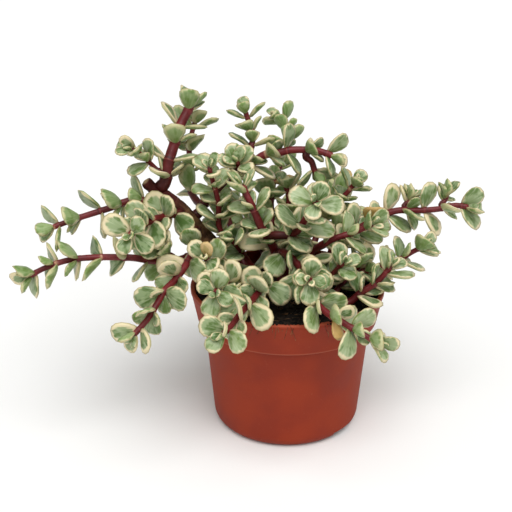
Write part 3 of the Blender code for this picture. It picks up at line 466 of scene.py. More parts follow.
# The guessed stems at the back, higher and lower
HIGH_BACK = {"radii": (2.4, 1.5), "first": 14, "facing": 0.7}
LOW_BACK = {"radii": (2.3, 1.5), "every": 12.5, "first": 16, "facing": 0.7}
STEMS = {
    "old_trunk": stem(
        SOIL,
        [(-12, -15, -27), (-18, -6, -24), (-22, 0, -21), (-28, 8, -18), (-34, 15, -14),
         (-40, 22, -10), (-46, 29, -7), (-52, 34, -4), (-61, 40, -2), (-65, 43, 0), (-68, 46, 2)],
        radii=(5.6, 3.0), leaf=0,
    ),
    "middle_up": stem(
        SOIL,
        [(24, -18, -20), (18, -9, -10), (13, 0, -2), (9, 9, 5), (4, 16, 10), (0, 25, 13),
         (-4, 34, 15), (-7, 40, 15), (-8, 44, 14)],
        radii=(3.6, 1.9), leaf=18, every=12.5, first=38, turn=80, facing=0.8,
    ),
    "middle_rosette": stem(
        "middle_up",
        [(7, 12, 7), (15, 11, 10), (21, 13, 14), (26, 16, 20), (31, 24, 28), (36, 31, 36), (37, 33, 46)],
        radii=(2.5, 1.6), leaf=18, first=13, turn=45, facing=0.6, opened=24,
    ),
    "right_drooping": stem(
        "middle_up",
        [(12, 3, 1), (17, 2, 10), (21, -1, 17), (27, -7, 23), (29, -13, 29), (32, -23, 37),
         (38, -30, 44), (45, -36, 50), (52, -40, 54), (60, -45, 58), (69, -50, 61), (75, -54, 63)],
        radii=(2.6, 1.6), leaf=17.5, every=13, first=7, turn=75, facing=0.8,
    ),
    "front_left": stem(
        SOIL,
        [(10, -23, -8), (9, -15, 8), (6, -17, 24), (1, -23, 38), (-4, -29, 49),
         (-10, -36, 59), (-17, -45, 69), (-21, -48, 74)],
        radii=(2.5, 1.5), every=12.5, first=34, turn=50,
    ),
    "front_left_rosette": stem(
        SOIL,
        [(-6, -29, 4), (-13, -20, 22), (-20, -17, 38), (-24, -21, 47), (-25, -22.5, 54)],
        leaf=16, every=11, first=20, turn=35, facing=0.6, opened=20,
    ),
    "left_drooping": stem(
        "old_trunk",
        [(-36, 18, -12), (-36, 11, 1), (-39, 2, 12), (-44, -7, 22), (-50, -15, 29), (-56, -21, 35),
         (-60, -28, 39), (-66, -38, 43), (-71, -44, 45), (-75.5, -49, 47)],
        radii=(2.6, 1.6), every=13, first=20,
    ),
    "left_front": stem(
        "old_trunk",
        [(-46, 29, -7), (-50, 26, 4), (-56, 24, 13), (-64, 22, 23), (-71, 18, 32), (-76, 14, 40),
         (-77, 13, 45)],
        radii=(2.6, 1.8), every=11, first=10, turn=60, facing=0.6, opened=16,
    ),
    "left_long": stem(
        "old_trunk",
        [(-54, 35.5, -3), (-74, 34.5, 3), (-91, 29, 4), (-110, 23, 6), (-121, 19, 8), (-126, 17, 9)],
        radii=(2.5, 1.6), every=12.5, first=15, turn=90, facing=0.2, bushy=0.5,
    ),
    "left_low": stem(
        "old_trunk",
        [(-30, 10, -17), (-36, 4, -10), (-46, -2, 0), (-62, -3, 8), (-77, -1, 12), (-102, -1, 15),
         (-117, -3, 16), (-131, -8, 17), (-140, -13, 18)],
        radii=(2.5, 1.6), every=13, first=30, facing=0.25, bushy=0.5,
    ),
    "left_upright": stem(
        "old_trunk",
        [(-60, 40, -2), (-58, 47, 0), (-54, 56, 1), (-52, 63, 1), (-49, 72, 0), (-46, 81, -1),
         (-42, 89, -2), (-39.5, 94, -3)],
        radii=(3.8, 2.8), leaf=16.5, every=12.5, first=7, facing=0.4,
    ),
    "left_upright_side": stem(
        "left_upright",
        [(-57, 52, 1), (-64, 56, 3), (-66, 58, 5), (-71, 63, 9), (-77, 66, 14)],
        radii=(1.6, 1.2), leaf=15.5, every=9, first=10, turn=90,
    ),
    "top_arch": stem(
        "old_trunk",
        [(-40, 22, -10), (-31, 33, -13), (-17, 48, -14), (-7, 54, -14), (-1, 58, -13),
         (5, 62, -12), (13, 63, -11), (21, 65, -10), (34, 65, -10), (40, 64, -9), (48, 61, -8)],
        radii=(3.0, 2.0), leaf=15.5, every=12.5, first=22, turn=90, facing=0.65,
    ),
    "behind_upright": stem(
        "top_arch",
        [(-33, 32, -13), (-38, 34, -20), (-40, 40, -22), (-40, 47, -22), (-40, 57, -21),
         (-41, 65, -20), (-39, 77, -20), (-37, 83, -20)],
        radii=(2.4, 1.5), first=12, turn=45, facing=0.65,
    ),
    "top_middle": stem(
        "top_arch",
        [(-1, 58, -13), (-1, 64, -14), (-2, 73, -15), (-4, 81, -15), (-6, 87, -14), (-6.5, 89.5, -13)],
        leaf=14.5, every=10, turn=90, facing=0.65,
    ),
    "top_thin": stem(
        "top_arch",
        [(20, 66, -10), (19, 71, -22), (19, 74, -27), (18, 81, -31), (15, 85, -33), (13, 86, -32)],
        radii=(1.4, 1.25), leaf=13.5, every=9, first=12, turn=60,
    ),
    "top_hanging": stem(
        "top_arch",
        [(31, 65, -10), (34, 58, -14), (36, 52, -17), (39, 44, -20), (40, 38, -22)],
        leaf=15.5, every=10, first=13, turn=70,
    ),
    "top_short": stem(
        "top_arch",
        [(-12, 51, -14), (-11, 55, -6), (-12, 59, -1)],
        radii=(1.6, 1.3), leaf=14.5, every=8, first=7, turn=70,
    ),
    "dark_upright": stem(
        "old_trunk",
        [(-21, -1, -22), (-20, 6, -12), (-21, 13, -6), (-23, 20, -3), (-23, 32, 2), (-26, 44, 8),
         (-29, 55, 14)],
        radii=(2.1, 1.4), leaf=15.5, every=11, first=22, turn=90, facing=0.8,
    ),
    "right_middle": stem(
        SOIL,
        [(31, -21, -13), (32, -9, -8), (34, 2, -3), (39, 6, 0), (49, 11, 3), (59, 14, 4),
         (66, 17, 5), (72, 19, 7)],
        radii=(2.6, 1.6), first=22, turn=45,
    ),
    "right_long": stem(
        SOIL,
        [(39, -15, -30), (48, -1, -26), (58, 12, -21), (65, 18, -18), (75, 23, -16), (80, 26, -15),
         (88, 28, -14), (101, 28, -13), (113, 29, -12), (122, 31, -11), (131, 30, -10)],
        radii=(2.7, 1.7), every=12.5, first=24, facing=1.2, bushy=0.7,
    ),
    "right_long_side": stem(
        "right_long",
        [(91, 28, -14), (94, 33, -16), (96, 38, -17)],
        radii=(1.5, 1.2), leaf=13.5, every=7, first=5, turn=90, facing=1.0,
    ),
    "right_long_end": stem(
        "right_long",
        [(114, 29, -12), (116, 34, -15), (118, 40, -17)],
        radii=(1.4, 1.2), leaf=13.5, every=7, first=5, turn=90, facing=1.0,
    ),
    "right_behind": stem(
        "right_long",
        [(49, -1, -26), (49, 12, -32), (52, 25, -33), (52, 34, -32), (57, 40, -30), (61, 45, -27)],
        leaf=15.5, every=11, first=16, turn=30, facing=0.7,
    ),
    "right_back": stem(
        SOIL,
        [(53, -19, -17), (59, -13, -12), (67, -9, -9), (76, -6, -8), (85, -4, -8), (95, 2, -8),
         (101, 5, -6), (104, 6, -5)],
        radii=(2.3, 1.5), first=16, turn=45, facing=0.7,
    ),
    "right_front": stem(
        SOIL,
        [(50, -33, 15), (58, -28, 17), (65, -22, 19), (73, -17, 21), (80, -10, 23), (83, -6, 24)],
        radii=(2.4, 1.6), leaf=18, first=14, turn=40, facing=0.7,
    ),
    "front_rosette": stem(
        "right_drooping",
        [(28, -10, 26), (31, -12, 36), (33, -14.5, 46), (33, -15, 51)],
        radii=(1.8, 1.4), leaf=14.5, every=9, first=8, turn=20, facing=0.5, opened=18,
    ),
    "left_twig": stem(
        "left_low",
        [(-52, -3, 3), (-55, 2, 12), (-60, 7, 20)],
        radii=(1.6, 1.2), leaf=14, every=9, first=8, turn=60, facing=0.5,
    ),
    "rim_right": stem(
        SOIL,
        [(45, -27, 6), (52, -18, 4), (58, -10, 1), (62, -3, -2)],
        radii=(1.9, 1.4), leaf=15.5, every=10, turn=20,
    ),
    "inner_left": stem(
        SOIL,
        [(-15, -25, -4), (-21, -12, 2), (-27, -4, 12), (-32, -1, 26)],
        radii=(2.0, 1.4), leaf=15.5, every=11, first=12, turn=20,
    ),
    "inner_middle": stem(
        SOIL,
        [(4, -22, -20), (-2, -7, -14), (-10, 4, -4), (-16, 11, 8)],
        radii=(2.0, 1.4), every=11, first=12, turn=60,
    ),
    "inner_right": stem(
        SOIL,
        [(38, -26, 2), (43, -17, 10), (48, -10, 18), (54, -4, 26)],
        radii=(1.9, 1.4), leaf=15.5, every=10, first=10, turn=30,
    ),
    "inner_top": stem(
        SOIL,
        [(15, -15, -30), (16, 1, -36), (17, 19, -36), (20, 34, -34), (18, 44, -30)],
        first=16, turn=20, facing=0.7,
    ),
    "back_left_high": stem(
        SOIL,
        [(-7, -9, -45), (-13, 9, -48), (-19, 30, -58), (-22, 40, -76)],
        turn=30, **HIGH_BACK,
    ),
    "back_middle_high": stem(
        SOIL,
        [(12, -12, -37), (10, 13, -42), (10, 41, -51), (16, 58, -58)],
        turn=60, **HIGH_BACK,
    ),
    "back_right_high": stem(
        SOIL,
        [(31, -11, -40), (37, 12, -44), (47, 35, -58), (51, 45, -74)],
        turn=15, **HIGH_BACK,
    ),
    "back_middle_low": stem(
        SOIL,
        [(21, -8, -50), (21, 11, -54), (22, 23, -67), (21, 24, -88), (20, 20, -107)],
        turn=75, **LOW_BACK,
    ),
    "back_left_low": stem(
        SOIL,
        [(7, -8, -49), (2, 10, -53), (-5, 21, -68), (-12, 21, -90), (-16, 18, -106)],
        turn=40, **LOW_BACK,
    ),
    "back_right_low": stem(
        SOIL,
        [(43, -10, -43), (48, 9, -48), (55, 19, -63), (58, 20, -81), (60, 17, -98)],
        turn=10, **LOW_BACK,
    ),
}


def seen(across, up, toward):
    """The point, in metres, that is seen there from the front."""
    shrink = 1 - toward / VIEW_DISTANCE
    point = VIEW_MIDDLE + Vector((across * shrink, 0, 0)) + VIEW_UP * (up * shrink)
    return (point + VIEW_TOWARD * toward) * MM


def smooth_path(points, step=1.0 * MM):
    """A smooth curve through the points, as points about a step apart."""
    ends = [points[0] * 2 - points[1], *points, points[-1] * 2 - points[-2]]
    fine = [points[0]]
    for before, start, end, after in zip(ends, ends[1:], ends[2:], ends[3:]):
        length = (end - start).length
        leave = (end - before) * (length / ((start - before).length + length))
        arrive = (after - start) * (length / (length + (after - end).length))
        pieces = max(2, round(length / step))
        for piece in range(1, pieces + 1):
            t = piece / pieces
            middle = start + (end - start) * (t**2 * (3 - 2 * t))
            fine.append(middle + leave * (t * (1 - t) ** 2) - arrive * (t**2 * (1 - t)))
    return fine


class Path:
    """A stem's centre line, with the radius and a frame that doesn't twist along it."""

    def __init__(self, points, radii, buried=0.0):
        self.points = points
        self.reach = [0.0]
        for a, b in zip(points, points[1:]):
            self.reach.append(self.reach[-1] + (b - a).length)
        self.length = self.reach[-1]
        self.radii = radii
        self.buried = buried
        self.tangents = []
        for i in range(len(points)):
            ahead = points[min(i + 1, len(points) - 1)]
            behind = points[max(i - 1, 0)]
            self.tangents.append((ahead - behind).normalized())
        side = across(VIEW_TOWARD, self.tangents[0])
        self.sides = []
        for tangent in self.tangents:
            side = across(side, tangent)
            self.sides.append(side)

    def index(self, distance):
        return max(0, int(np.searchsorted(self.reach, distance + MERGE, side="right")) - 1)

    def radius(self, distance):
        share = min(max((distance - self.buried) / (self.length - self.buried), 0), 1)
        return self.radii[0] + (self.radii[1] - self.radii[0]) * share

    def nearest(self, point):
        return min(range(len(self.points)), key=lambda i: (self.points[i] - point).length)


def across(vector, axis):
    """The part of the vector that is square to the axis, one unit long."""
    square = vector - axis * vector.dot(axis)
    if square.length < 1e-6:
        square = axis.orthogonal()
    return square.normalized()


def stem_path(spec, paths):
    """The stem's centre line, from its hole in the soil or from the side of its parent."""
    points = [seen(*place) for place in spec["route"]]
    if spec["base"] == SOIL:
        foot = points[0]
        rise = ((points[1] - foot).normalized() + Vector((0, 0, 0.6))).normalized()
        foot = Vector((foot.x, foot.y, soil_top(foot.x, foot.y))) + rise * 3 * MM
        deep = foot - rise * ROOT_DEPTH
        buried = [deep + (foot - deep) * (i / 20) for i in range(20)]
        path = smooth_path([foot, *points[1:]])
        path[0] = foot
        return Path(buried + path, spec["radii"], ROOT_DEPTH)
    parent = paths[spec["base"]]
    near = parent.nearest(points[0])
    out = across(points[1] - parent.points[near], parent.tangents[near])
    skin = parent.radius(parent.reach[near]) + SEAT_GAP
    start = parent.points[near] + out * skin
    elbow = start + out * spec["radii"][0]
    rest = [p for p in points[1:] if (p - elbow).length > 2 * spec["radii"][0]]
    return Path(smooth_path([start, elbow, *rest]), spec["radii"])


def sag(path, start, end):
    """How far the path strays from a straight line between two of its points."""
    a, b = path.points[start], path.points[end]
    way = (b - a).normalized()
    return max((p - a - way * (p - a).dot(way)).length for p in path.points[start : end + 1])


def stem_stops(path, joints):
    """Distances along the stem of the rings that shape it, closer together where it bends."""
    start = (path.buried or path.radii[0]) + 0.3 * MM
    stops = [start]
    last = path.index(start)
    for i in range(last + 2, len(path.points)):
        if sag(path, last, i) > STEM_SAG * path.radius(path.reach[i]):
            last = i - 1
            stops.append(path.reach[last])
    fixed = [0.0, start, path.length, *joints]
    stops = [s for s in stops if all(abs(s - other) > STEM_RING_GAP for other in fixed)]
    return sorted({*fixed, *stops})


def side_joints(name, paths):
    """Distances along a stem of the places where its side stems leave it."""
    parent = paths[name]
    sides = [other for other, spec in STEMS.items() if spec["base"] == name]
    return [parent.reach[parent.nearest(paths[other].points[0])] for other in sides]


PATHS = {}
for name, spec in STEMS.items():
    PATHS[name] = stem_path(spec, PATHS)


def leaf_nodes(name):
    """Distances along the stem of its swollen rings, one at each pair of leaves or old scar."""
    path, spec = PATHS[name], STEMS[name]
    stops = sorted({round(place[0], 6) for place in leaf_places(path, spec)})
    gap = spec["every"]
    low = stops[0] - gap
    while low > path.buried + 3 * MM:
        stops.insert(0, low)
        low -= gap
    return stops


def swollen(path, distance, nodes):
    """The stem's radius there, wider at its rings and pinched just above each."""
    radius = path.radius(distance)
    near = min((distance - node for node in nodes), key=abs, default=1.0)
    ring = math.exp(-((near / (0.9 * MM)) ** 2))
    pinch = math.exp(-(((near - 1.8 * MM) / (0.8 * MM)) ** 2))
    flare = 0.16 * math.exp(-max(distance - path.buried, 0) / (4 * MM))
    return radius * (1 + 0.15 * ring - 0.05 * pinch + flare)


def stem_skin(bm, path, nodes, step, around, wear, rounding=1.0):
    """A closed tube along the path, ring by ring; wear is the colour attribute's layer.

    rounding is how far back from its end the tube draws in, in end radii.
    """
    drawn_in = path.radii[1] * rounding
    count = max(4, round(path.length / step))
    ring = bmesh.ops.create_circle(bm, cap_ends=True, segments=around, radius=1)["verts"]
    cap = ring[0].link_faces[0]
    edges = list(cap.edges)
    cap.normal_flip()
    previous = None
    for k in range(count + 1):
        distance = path.length * k / count
        i = path.index(distance)
        radius = swollen(path, distance, nodes)
        end = path.length - distance
        if end < drawn_in:
            radius *= math.sqrt(max(1 - (1 - end / drawn_in) ** 2, 0.04))
        side, tangent = path.sides[i], path.tangents[i]
        matrix = Matrix((side, tangent.cross(side), tangent)).transposed().to_4x4()
        place = path.points[i]
        if k == 0:
            place = place - tangent * ROOTED
        matrix = Matrix.Translation(place) @ matrix @ Matrix.Diagonal((radius, radius, 1, 1))
        if previous is None:
            verts = ring
            bmesh.ops.transform(bm, matrix=matrix, verts=verts)
        else:
            made = bmesh.ops.extrude_edge_only(bm, edges=edges)["geom"]
            verts = [item for item in made if isinstance(item, bmesh.types.BMVert)]
            edges = [item for item in made if isinstance(item, bmesh.types.BMEdge) and item.is_boundary]
            bmesh.ops.transform(bm, matrix=matrix @ previous.inverted(), verts=verts)
        near = min((distance - node for node in nodes), key=abs, default=1.0)
        ridge = math.exp(-((near / (0.8 * MM)) ** 2))
        line = math.exp(-(((near - 1.4 * MM) / (0.6 * MM)) ** 2))
        for vert in verts:
            vert[wear] = (distance / path.length, ridge, line, 1.0)
        previous = matrix
    bmesh.ops.contextual_create(bm, geom=edges)


def stem_finish():
    """Living stem skin: smooth and waxy, wine red where young, browner and duller with age. Its
    rings are paler, with a dark joint line above each and pale scars where leaves have dropped."""
    made, tree, shader = new_material("waxy_stem_skin", roughness=0.45, specular=0.35)
    wear = add_node(tree, "ShaderNodeAttribute", attribute_name="wear").outputs["Color"]
    marks = add_node(tree, "ShaderNodeSeparateColor", {"Color": wear})
    youth, ring, joint = (marks.outputs[name] for name in ("Red", "Green", "Blue"))
    place = add_node(tree, "ShaderNodeTexCoord").outputs["Object"]
    patch = add_node(tree, "ShaderNodeTexNoise", {"Vector": place, "Scale": 120, "Detail": 4}).outputs[0]
    fine = add_node(tree, "ShaderNodeTexNoise", {"Vector": place, "Scale": 900, "Detail": 2}).outputs[0]
    mottle = (patch, 0.35, 0.65)
    young = coated(tree, srgb("#5C1216"), srgb("#762025"), 1.0, mottle)
    old = coated(tree, srgb("#3E100F"), srgb("#591D1A"), 1.0, mottle)
    colour = coated(tree, old, young, 1.0, (youth, 0.0, 0.55))
    colour = coated(tree, colour, srgb("#A0524A"), 0.35, (ring, 0.55, 1.0))
    colour = coated(tree, colour, srgb("#2A0909"), 0.6, (joint, 0.3, 1.0))
    scar = add_node(tree, "ShaderNodeMath", {0: ring, 1: 0.8}, operation="MULTIPLY").outputs[0]
    colour = coated(tree, colour, srgb("#D8AE8A"), scar, (patch, 0.60, 0.66))
    colour = coated(tree, colour, srgb("#94544C"), 0.35, (fine, 0.62, 0.74))
    finished(tree, shader, colour, fine, 0.25, 0.3 * MM)
    return made


STEM_SKIN = stem_finish()


# The leaves
# Fleshy obovate leaves in opposite pairs, each pair a quarter turn from the last, variegated:
# sage green with darker feathering, a broad uneven cream margin and a thin rosy edge.

LEAF_WIDTH = 0.85
# Where along a leaf it is thickest
LEAF_MIDDLE = 0.56
# The thickness of the plain blades that keep the leaves apart, and of the full leaves
LEAF_THICKNESS = 2.1 * MM
LEAF_FULLNESS = 2.9 * MM
LEAF_SIDES = 6
LEAF_CLEARANCE = 0.45 * MM
LEAF_ANGLE = 62
# The pairs crowded at a tip: how far back, in millimetres, how large, and how far from the stem
TIP_PAIRS = ((4.5, 0.92, 56), (1.4, 0.70, 36))


def leaf_places(path, spec):
    """(distance, angle round the stem, size, lift) of each leaf, in pairs turned a quarter each time."""
    places = []
    distance = path.buried + spec["first"]
    turn = spec["turn"]
    last = path.length - 4.5 * MM
    pairs = max(1, round((last - distance) / spec["every"]))
    gap = (last - distance) / pairs
    for pair in range(pairs):
        size = 1.0 if pair < pairs - 1 else 0.9
        places += [(distance + gap * pair, turn + half, size, LEAF_ANGLE) for half in (0, math.pi)]
        turn += math.pi / 2
    for back, size, lift in TIP_PAIRS:
        at = path.length - back * MM
        spread = lift + spec["opened"]
        places += [(at, turn + half, size, spread) for half in (0, math.pi)]
        turn += math.pi / 2
    return places


def light_from(point):
    """Where the leaves there look for light: forwards and up in front, outwards at the back."""
    behind = max(point.y - 22 * MM, 0.0) / (20 * MM)
    return VIEW_TOWARD + Vector((behind * point.x / RIM_RADIUS, behind, 0.6))


def leaf_frame(path, spec, place, lift=0.0, swing=0.0, scale=1.0):
    """The leaf's matrix, with its length along X, and its upper side towards the stem's tip."""
    distance, turn, size, angle = place
    i = path.index(distance)
    tangent = path.tangents[i]
    side = path.sides[i]
    out = Matrix.Rotation(turn + math.radians(swing), 3, tangent) @ side
    angle = math.radians(angle + lift)
    along = tangent * math.cos(angle) + out * math.sin(angle)
    face = tangent * math.sin(angle) - out * math.cos(angle)
    light = across(light_from(path.points[i]), along)
    face = across(face + light * spec["facing"], along)
    width = face.cross(along)
    length = spec["leaf"] * size * scale
    radius = path.radius(distance)
    root = path.points[i] + out * (0.15 * radius) - face * (0.3 * LEAF_THICKNESS)
    turned = Matrix((along, width, face)).transposed().to_4x4()
    sizes = Matrix.Diagonal((length + 0.85 * radius, length, 0.55 + 0.45 * size * scale, 1))
    return Matrix.Translation(root) @ turned @ sizes


def leaf_rim(x, y):
    """How far along the leaf, and how far out, a ball's rim is drawn to make it obovate."""
    angle = math.atan2(y, -x)
    along = (1 - math.cos(angle)) / 2
    return along, math.sin(angle) * (0.36 + 0.64 * along**0.7) / 0.81


def leaf_shape():
    """A plain blade one unit long: a flattened ball whose rim is drawn out to an obovate."""
    bm = bmesh.new()
    bmesh.ops.create_uvsphere(bm, u_segments=LEAF_SIDES, v_segments=2, radius=1)
    for vert in bm.verts:
        if abs(vert.co.z) > 0.5:
            vert.co = Vector((LEAF_MIDDLE, 0, math.copysign(LEAF_THICKNESS / 2, vert.co.z)))
            continue
        share, wide = leaf_rim(vert.co.x, vert.co.y)
        vert.co = Vector((share, wide * LEAF_WIDTH / 2, 0.35 * LEAF_THICKNESS))
    return mesh_from("leaf", bm)


def in_pot(point):
    """True where the point is in the pot's wall, in the soil, or too near them."""
    away = math.hypot(point.x, point.y)
    margin = 0.8 * MM
    if point.z > POT_HEIGHT + margin or away > RIM_RADIUS + margin:
        return False
    inside = away < RIM_RADIUS - RIM_WIDTH - margin
    return not (inside and point.z > soil_top(point.x, point.y) + 2 * margin)


class Clearances:
    """Every piece placed so far, for keeping the leaves clear of each other."""

    def __init__(self):
        self.trees = []
        self.owners = []
        self.middles = np.zeros((0, 3))
        self.reaches = np.zeros(0)

    def add(self, owner, points, faces):
        self.trees.append(BVHTree.FromPolygons(points, faces))
        self.owners.append(owner)
        cloud = np.array([tuple(p) for p in points])
        middle = cloud.mean(axis=0)
        self.middles = np.vstack([self.middles, middle])
        self.reaches = np.append(self.reaches, np.linalg.norm(cloud - middle, axis=1).max())

    def blocked(self, points, faces, skip):
        cloud = np.array([tuple(p) for p in points])
        middle = cloud.mean(axis=0)
        reach = np.linalg.norm(cloud - middle, axis=1).max()
        near = np.linalg.norm(self.middles - middle, axis=1) < self.reaches + reach
        tree = BVHTree.FromPolygons(points, faces)
        for i in np.nonzero(near)[0]:
            if self.owners[i] != skip and tree.overlap(self.trees[i]):
                return True
        return False


def leaf_points(matrix, mesh, swell=0.0):
    """The leaf's corners in place, moved out by swell so that a clear leaf has room round it."""
    middle = Vector((LEAF_MIDDLE, 0, 0.2 * LEAF_THICKNESS))
    place = matrix @ middle
    points = []
    for vert in mesh.vertices:
        point = matrix @ vert.co
        flat = Vector((vert.co.x, vert.co.y, middle.z))
        outward = matrix @ flat - place
        if outward.length < 1e-6:
            outward = point - place
        points.append(point + outward.normalized() * swell)
    if swell:
        for i, vert in enumerate(mesh.vertices):
            if abs(vert.co.z) > 0.45 * LEAF_THICKNESS:
                points[i] += (matrix @ vert.co - place).normalized() * swell
    return points


def outer_part(mesh):
    """The faces of the leaf beyond its narrow root, which may cross its neighbours' roots."""
    return [
        tuple(face.vertices)
        for face in mesh.polygons
        if sum(mesh.vertices[v].co.x for v in face.vertices) / 3 > 0.42
    ]


def uneven(place, draw):
    """The leaf's place with a little of nature's unevenness in its size, tilt and turn."""
    distance, turn, size, lift = place
    turn += math.radians(draw.uniform(-10, 10))
    return distance, turn, size * draw.uniform(0.9, 1.08), lift + draw.uniform(-12, 14)


TRIES = [
    (lift, swing, scale)
    for scale in (1.0, 0.86, 0.72)
    for lift in (0, -14, 14, -26)
    for swing in (0, 14, -14, 27, -27)
]


def grow_on(name, path, places, mesh, grown, others, own, draw):
    """Grows leaves at the places. A leaf that meets another piece tries a few tilts and sizes."""
    whole = [tuple(face.vertices) for face in mesh.polygons]
    outer = outer_part(mesh)
    for place in places:
        place = uneven(place, draw)
        for lift, swing, scale in TRIES:
            matrix = leaf_frame(path, STEMS[name], place, lift, swing, scale)
            wide = leaf_points(matrix, mesh, LEAF_CLEARANCE)
            if any(in_pot(point) for point in wide):
                continue
            if others.blocked(wide, whole, name):
                continue
            exact = leaf_points(matrix, mesh)
            if own.blocked(exact, outer, None):
                continue
            grown.append(matrix)
            others.add(name, exact, whole)
            own.add(name, exact, outer)
            break


def grow_leaves(paths, mesh):
    """Each stem's leaf matrices, and what the leaves and stems have taken up."""
    others = Clearances()
    for name, path in paths.items():
        for points, faces in stem_sleeves(path, side_joints(name, paths)):
            others.add(name, points, faces)
    grown = {name: [] for name in paths}
    owns = {name: Clearances() for name in paths}
    for name, path in paths.items():
        spec = STEMS[name]
        if spec["leaf"]:
            places = leaf_places(path, spec)
            draw = random.Random(name)
            grow_on(name, path, places, mesh, grown[name], others, owns[name], draw)
    return grown, others, owns


def stem_sleeves(path, joints):
    """The stem as short eight-sided sleeves, a little thicker than it is."""
    sides = [math.radians(45 * k) for k in range(8)]
    stops = [path.index(stop) for stop in stem_stops(path, joints)]
    for start, end in zip(stops, stops[1:]):
        points = []
        for i in (start, end):
            radius = path.radius(path.reach[i]) + STEM_CLEARANCE
            for angle in sides:
                ring = Matrix.Rotation(angle, 3, path.tangents[i]) @ path.sides[i]
                points.append(path.points[i] + ring * radius)
        faces = [(k, (k + 1) % 8, 8 + (k + 1) % 8, 8 + k) for k in range(8)]
        yield points, faces


# The smaller leaves between the pairs, and the youngest pair at a tip: how large, and how far
# from the stem in degrees
SIDE_SIZE = 0.66
SIDE_LIFT = 48
YOUNG_SIZE = 0.36
YOUNG_LIFT = 18
LEAF_AROUND = 14
# The leaf's marks fan out from a point a little behind its root. How fine they are across the fan,
# along it and from leaf to leaf
LEAF_FAN = (0.12, -0.5, 0.0)
THIN_MARKS = (9.0, 1.6, 1.0)
WIDE_MARKS = (2.2, 2.6, 1.0)


def fine_leaf():
    """A full leaf one unit long, a few dozen faces, with its place along and across kept as UVs."""
    bm = bmesh.new()
    bmesh.ops.create_uvsphere(bm, u_segments=LEAF_AROUND, v_segments=4, radius=1)
    edge_share = bm.verts.layers.float_color.new("leaf_marks")
    along = bm.loops.layers.uv.new("along_leaf")
    for vert in bm.verts:
        level = vert.co.z
        reach = math.hypot(vert.co.x, vert.co.y)
        rim, wide = leaf_rim(vert.co.x, vert.co.y)
        if reach < 0.1:
            share, thick = 0.0, 1.0
        elif reach < 0.9:
            share, thick = 0.74, 0.82
        else:
            share, thick = 1.0, 0.0
        x = LEAF_MIDDLE + (rim - LEAF_MIDDLE) * share
        vert.co = Vector((x, wide * share / 2, math.copysign(thick * LEAF_FULLNESS / 2, level)))
        vert[edge_share] = (share, 0.0, 0.0, 1.0 if level > 0.1 else 0.0)
    for face in bm.faces:
        for loop in face.loops:
            loop[along].uv = (loop.vert.co.x, loop.vert.co.y + 0.5)
    return mesh_from("fine_leaf", bm)


def add_leaf(bm, leaf, matrix, draw):
    """One leaf on its stem, cupped, bent and folded a little in its own way."""
    start = len(bm.verts)
    first = len(bm.faces)
    bm.from_mesh(leaf)
    bm.verts.ensure_lookup_table()
    bm.faces.ensure_lookup_table()
    verts = bm.verts[start:]
    marks = bm.verts.layers.float_color["leaf_marks"]
    wide = LEAF_WIDTH * draw.uniform(0.94, 1.06)
    cup = draw.uniform(0.9, 2.4) * MM
    bend = draw.uniform(-1.6, 1.2) * MM
    wave = draw.uniform(-0.35, 0.35) * MM
    tone, seed = draw.random(), draw.random()
    for vert in verts:
        x, y = vert.co.x, vert.co.y
        vert.co.y = y * wide
        vert.co.z += cup * 4 * y * y - bend * x * x + wave * math.sin(9 * y + 6 * x)
        share, _, _, upper = vert[marks]
        vert[marks] = (share, tone, seed, upper)
    bmesh.ops.transform(bm, matrix=matrix, verts=verts)
    for face in bm.faces[first:]:
        face.material_index = 1


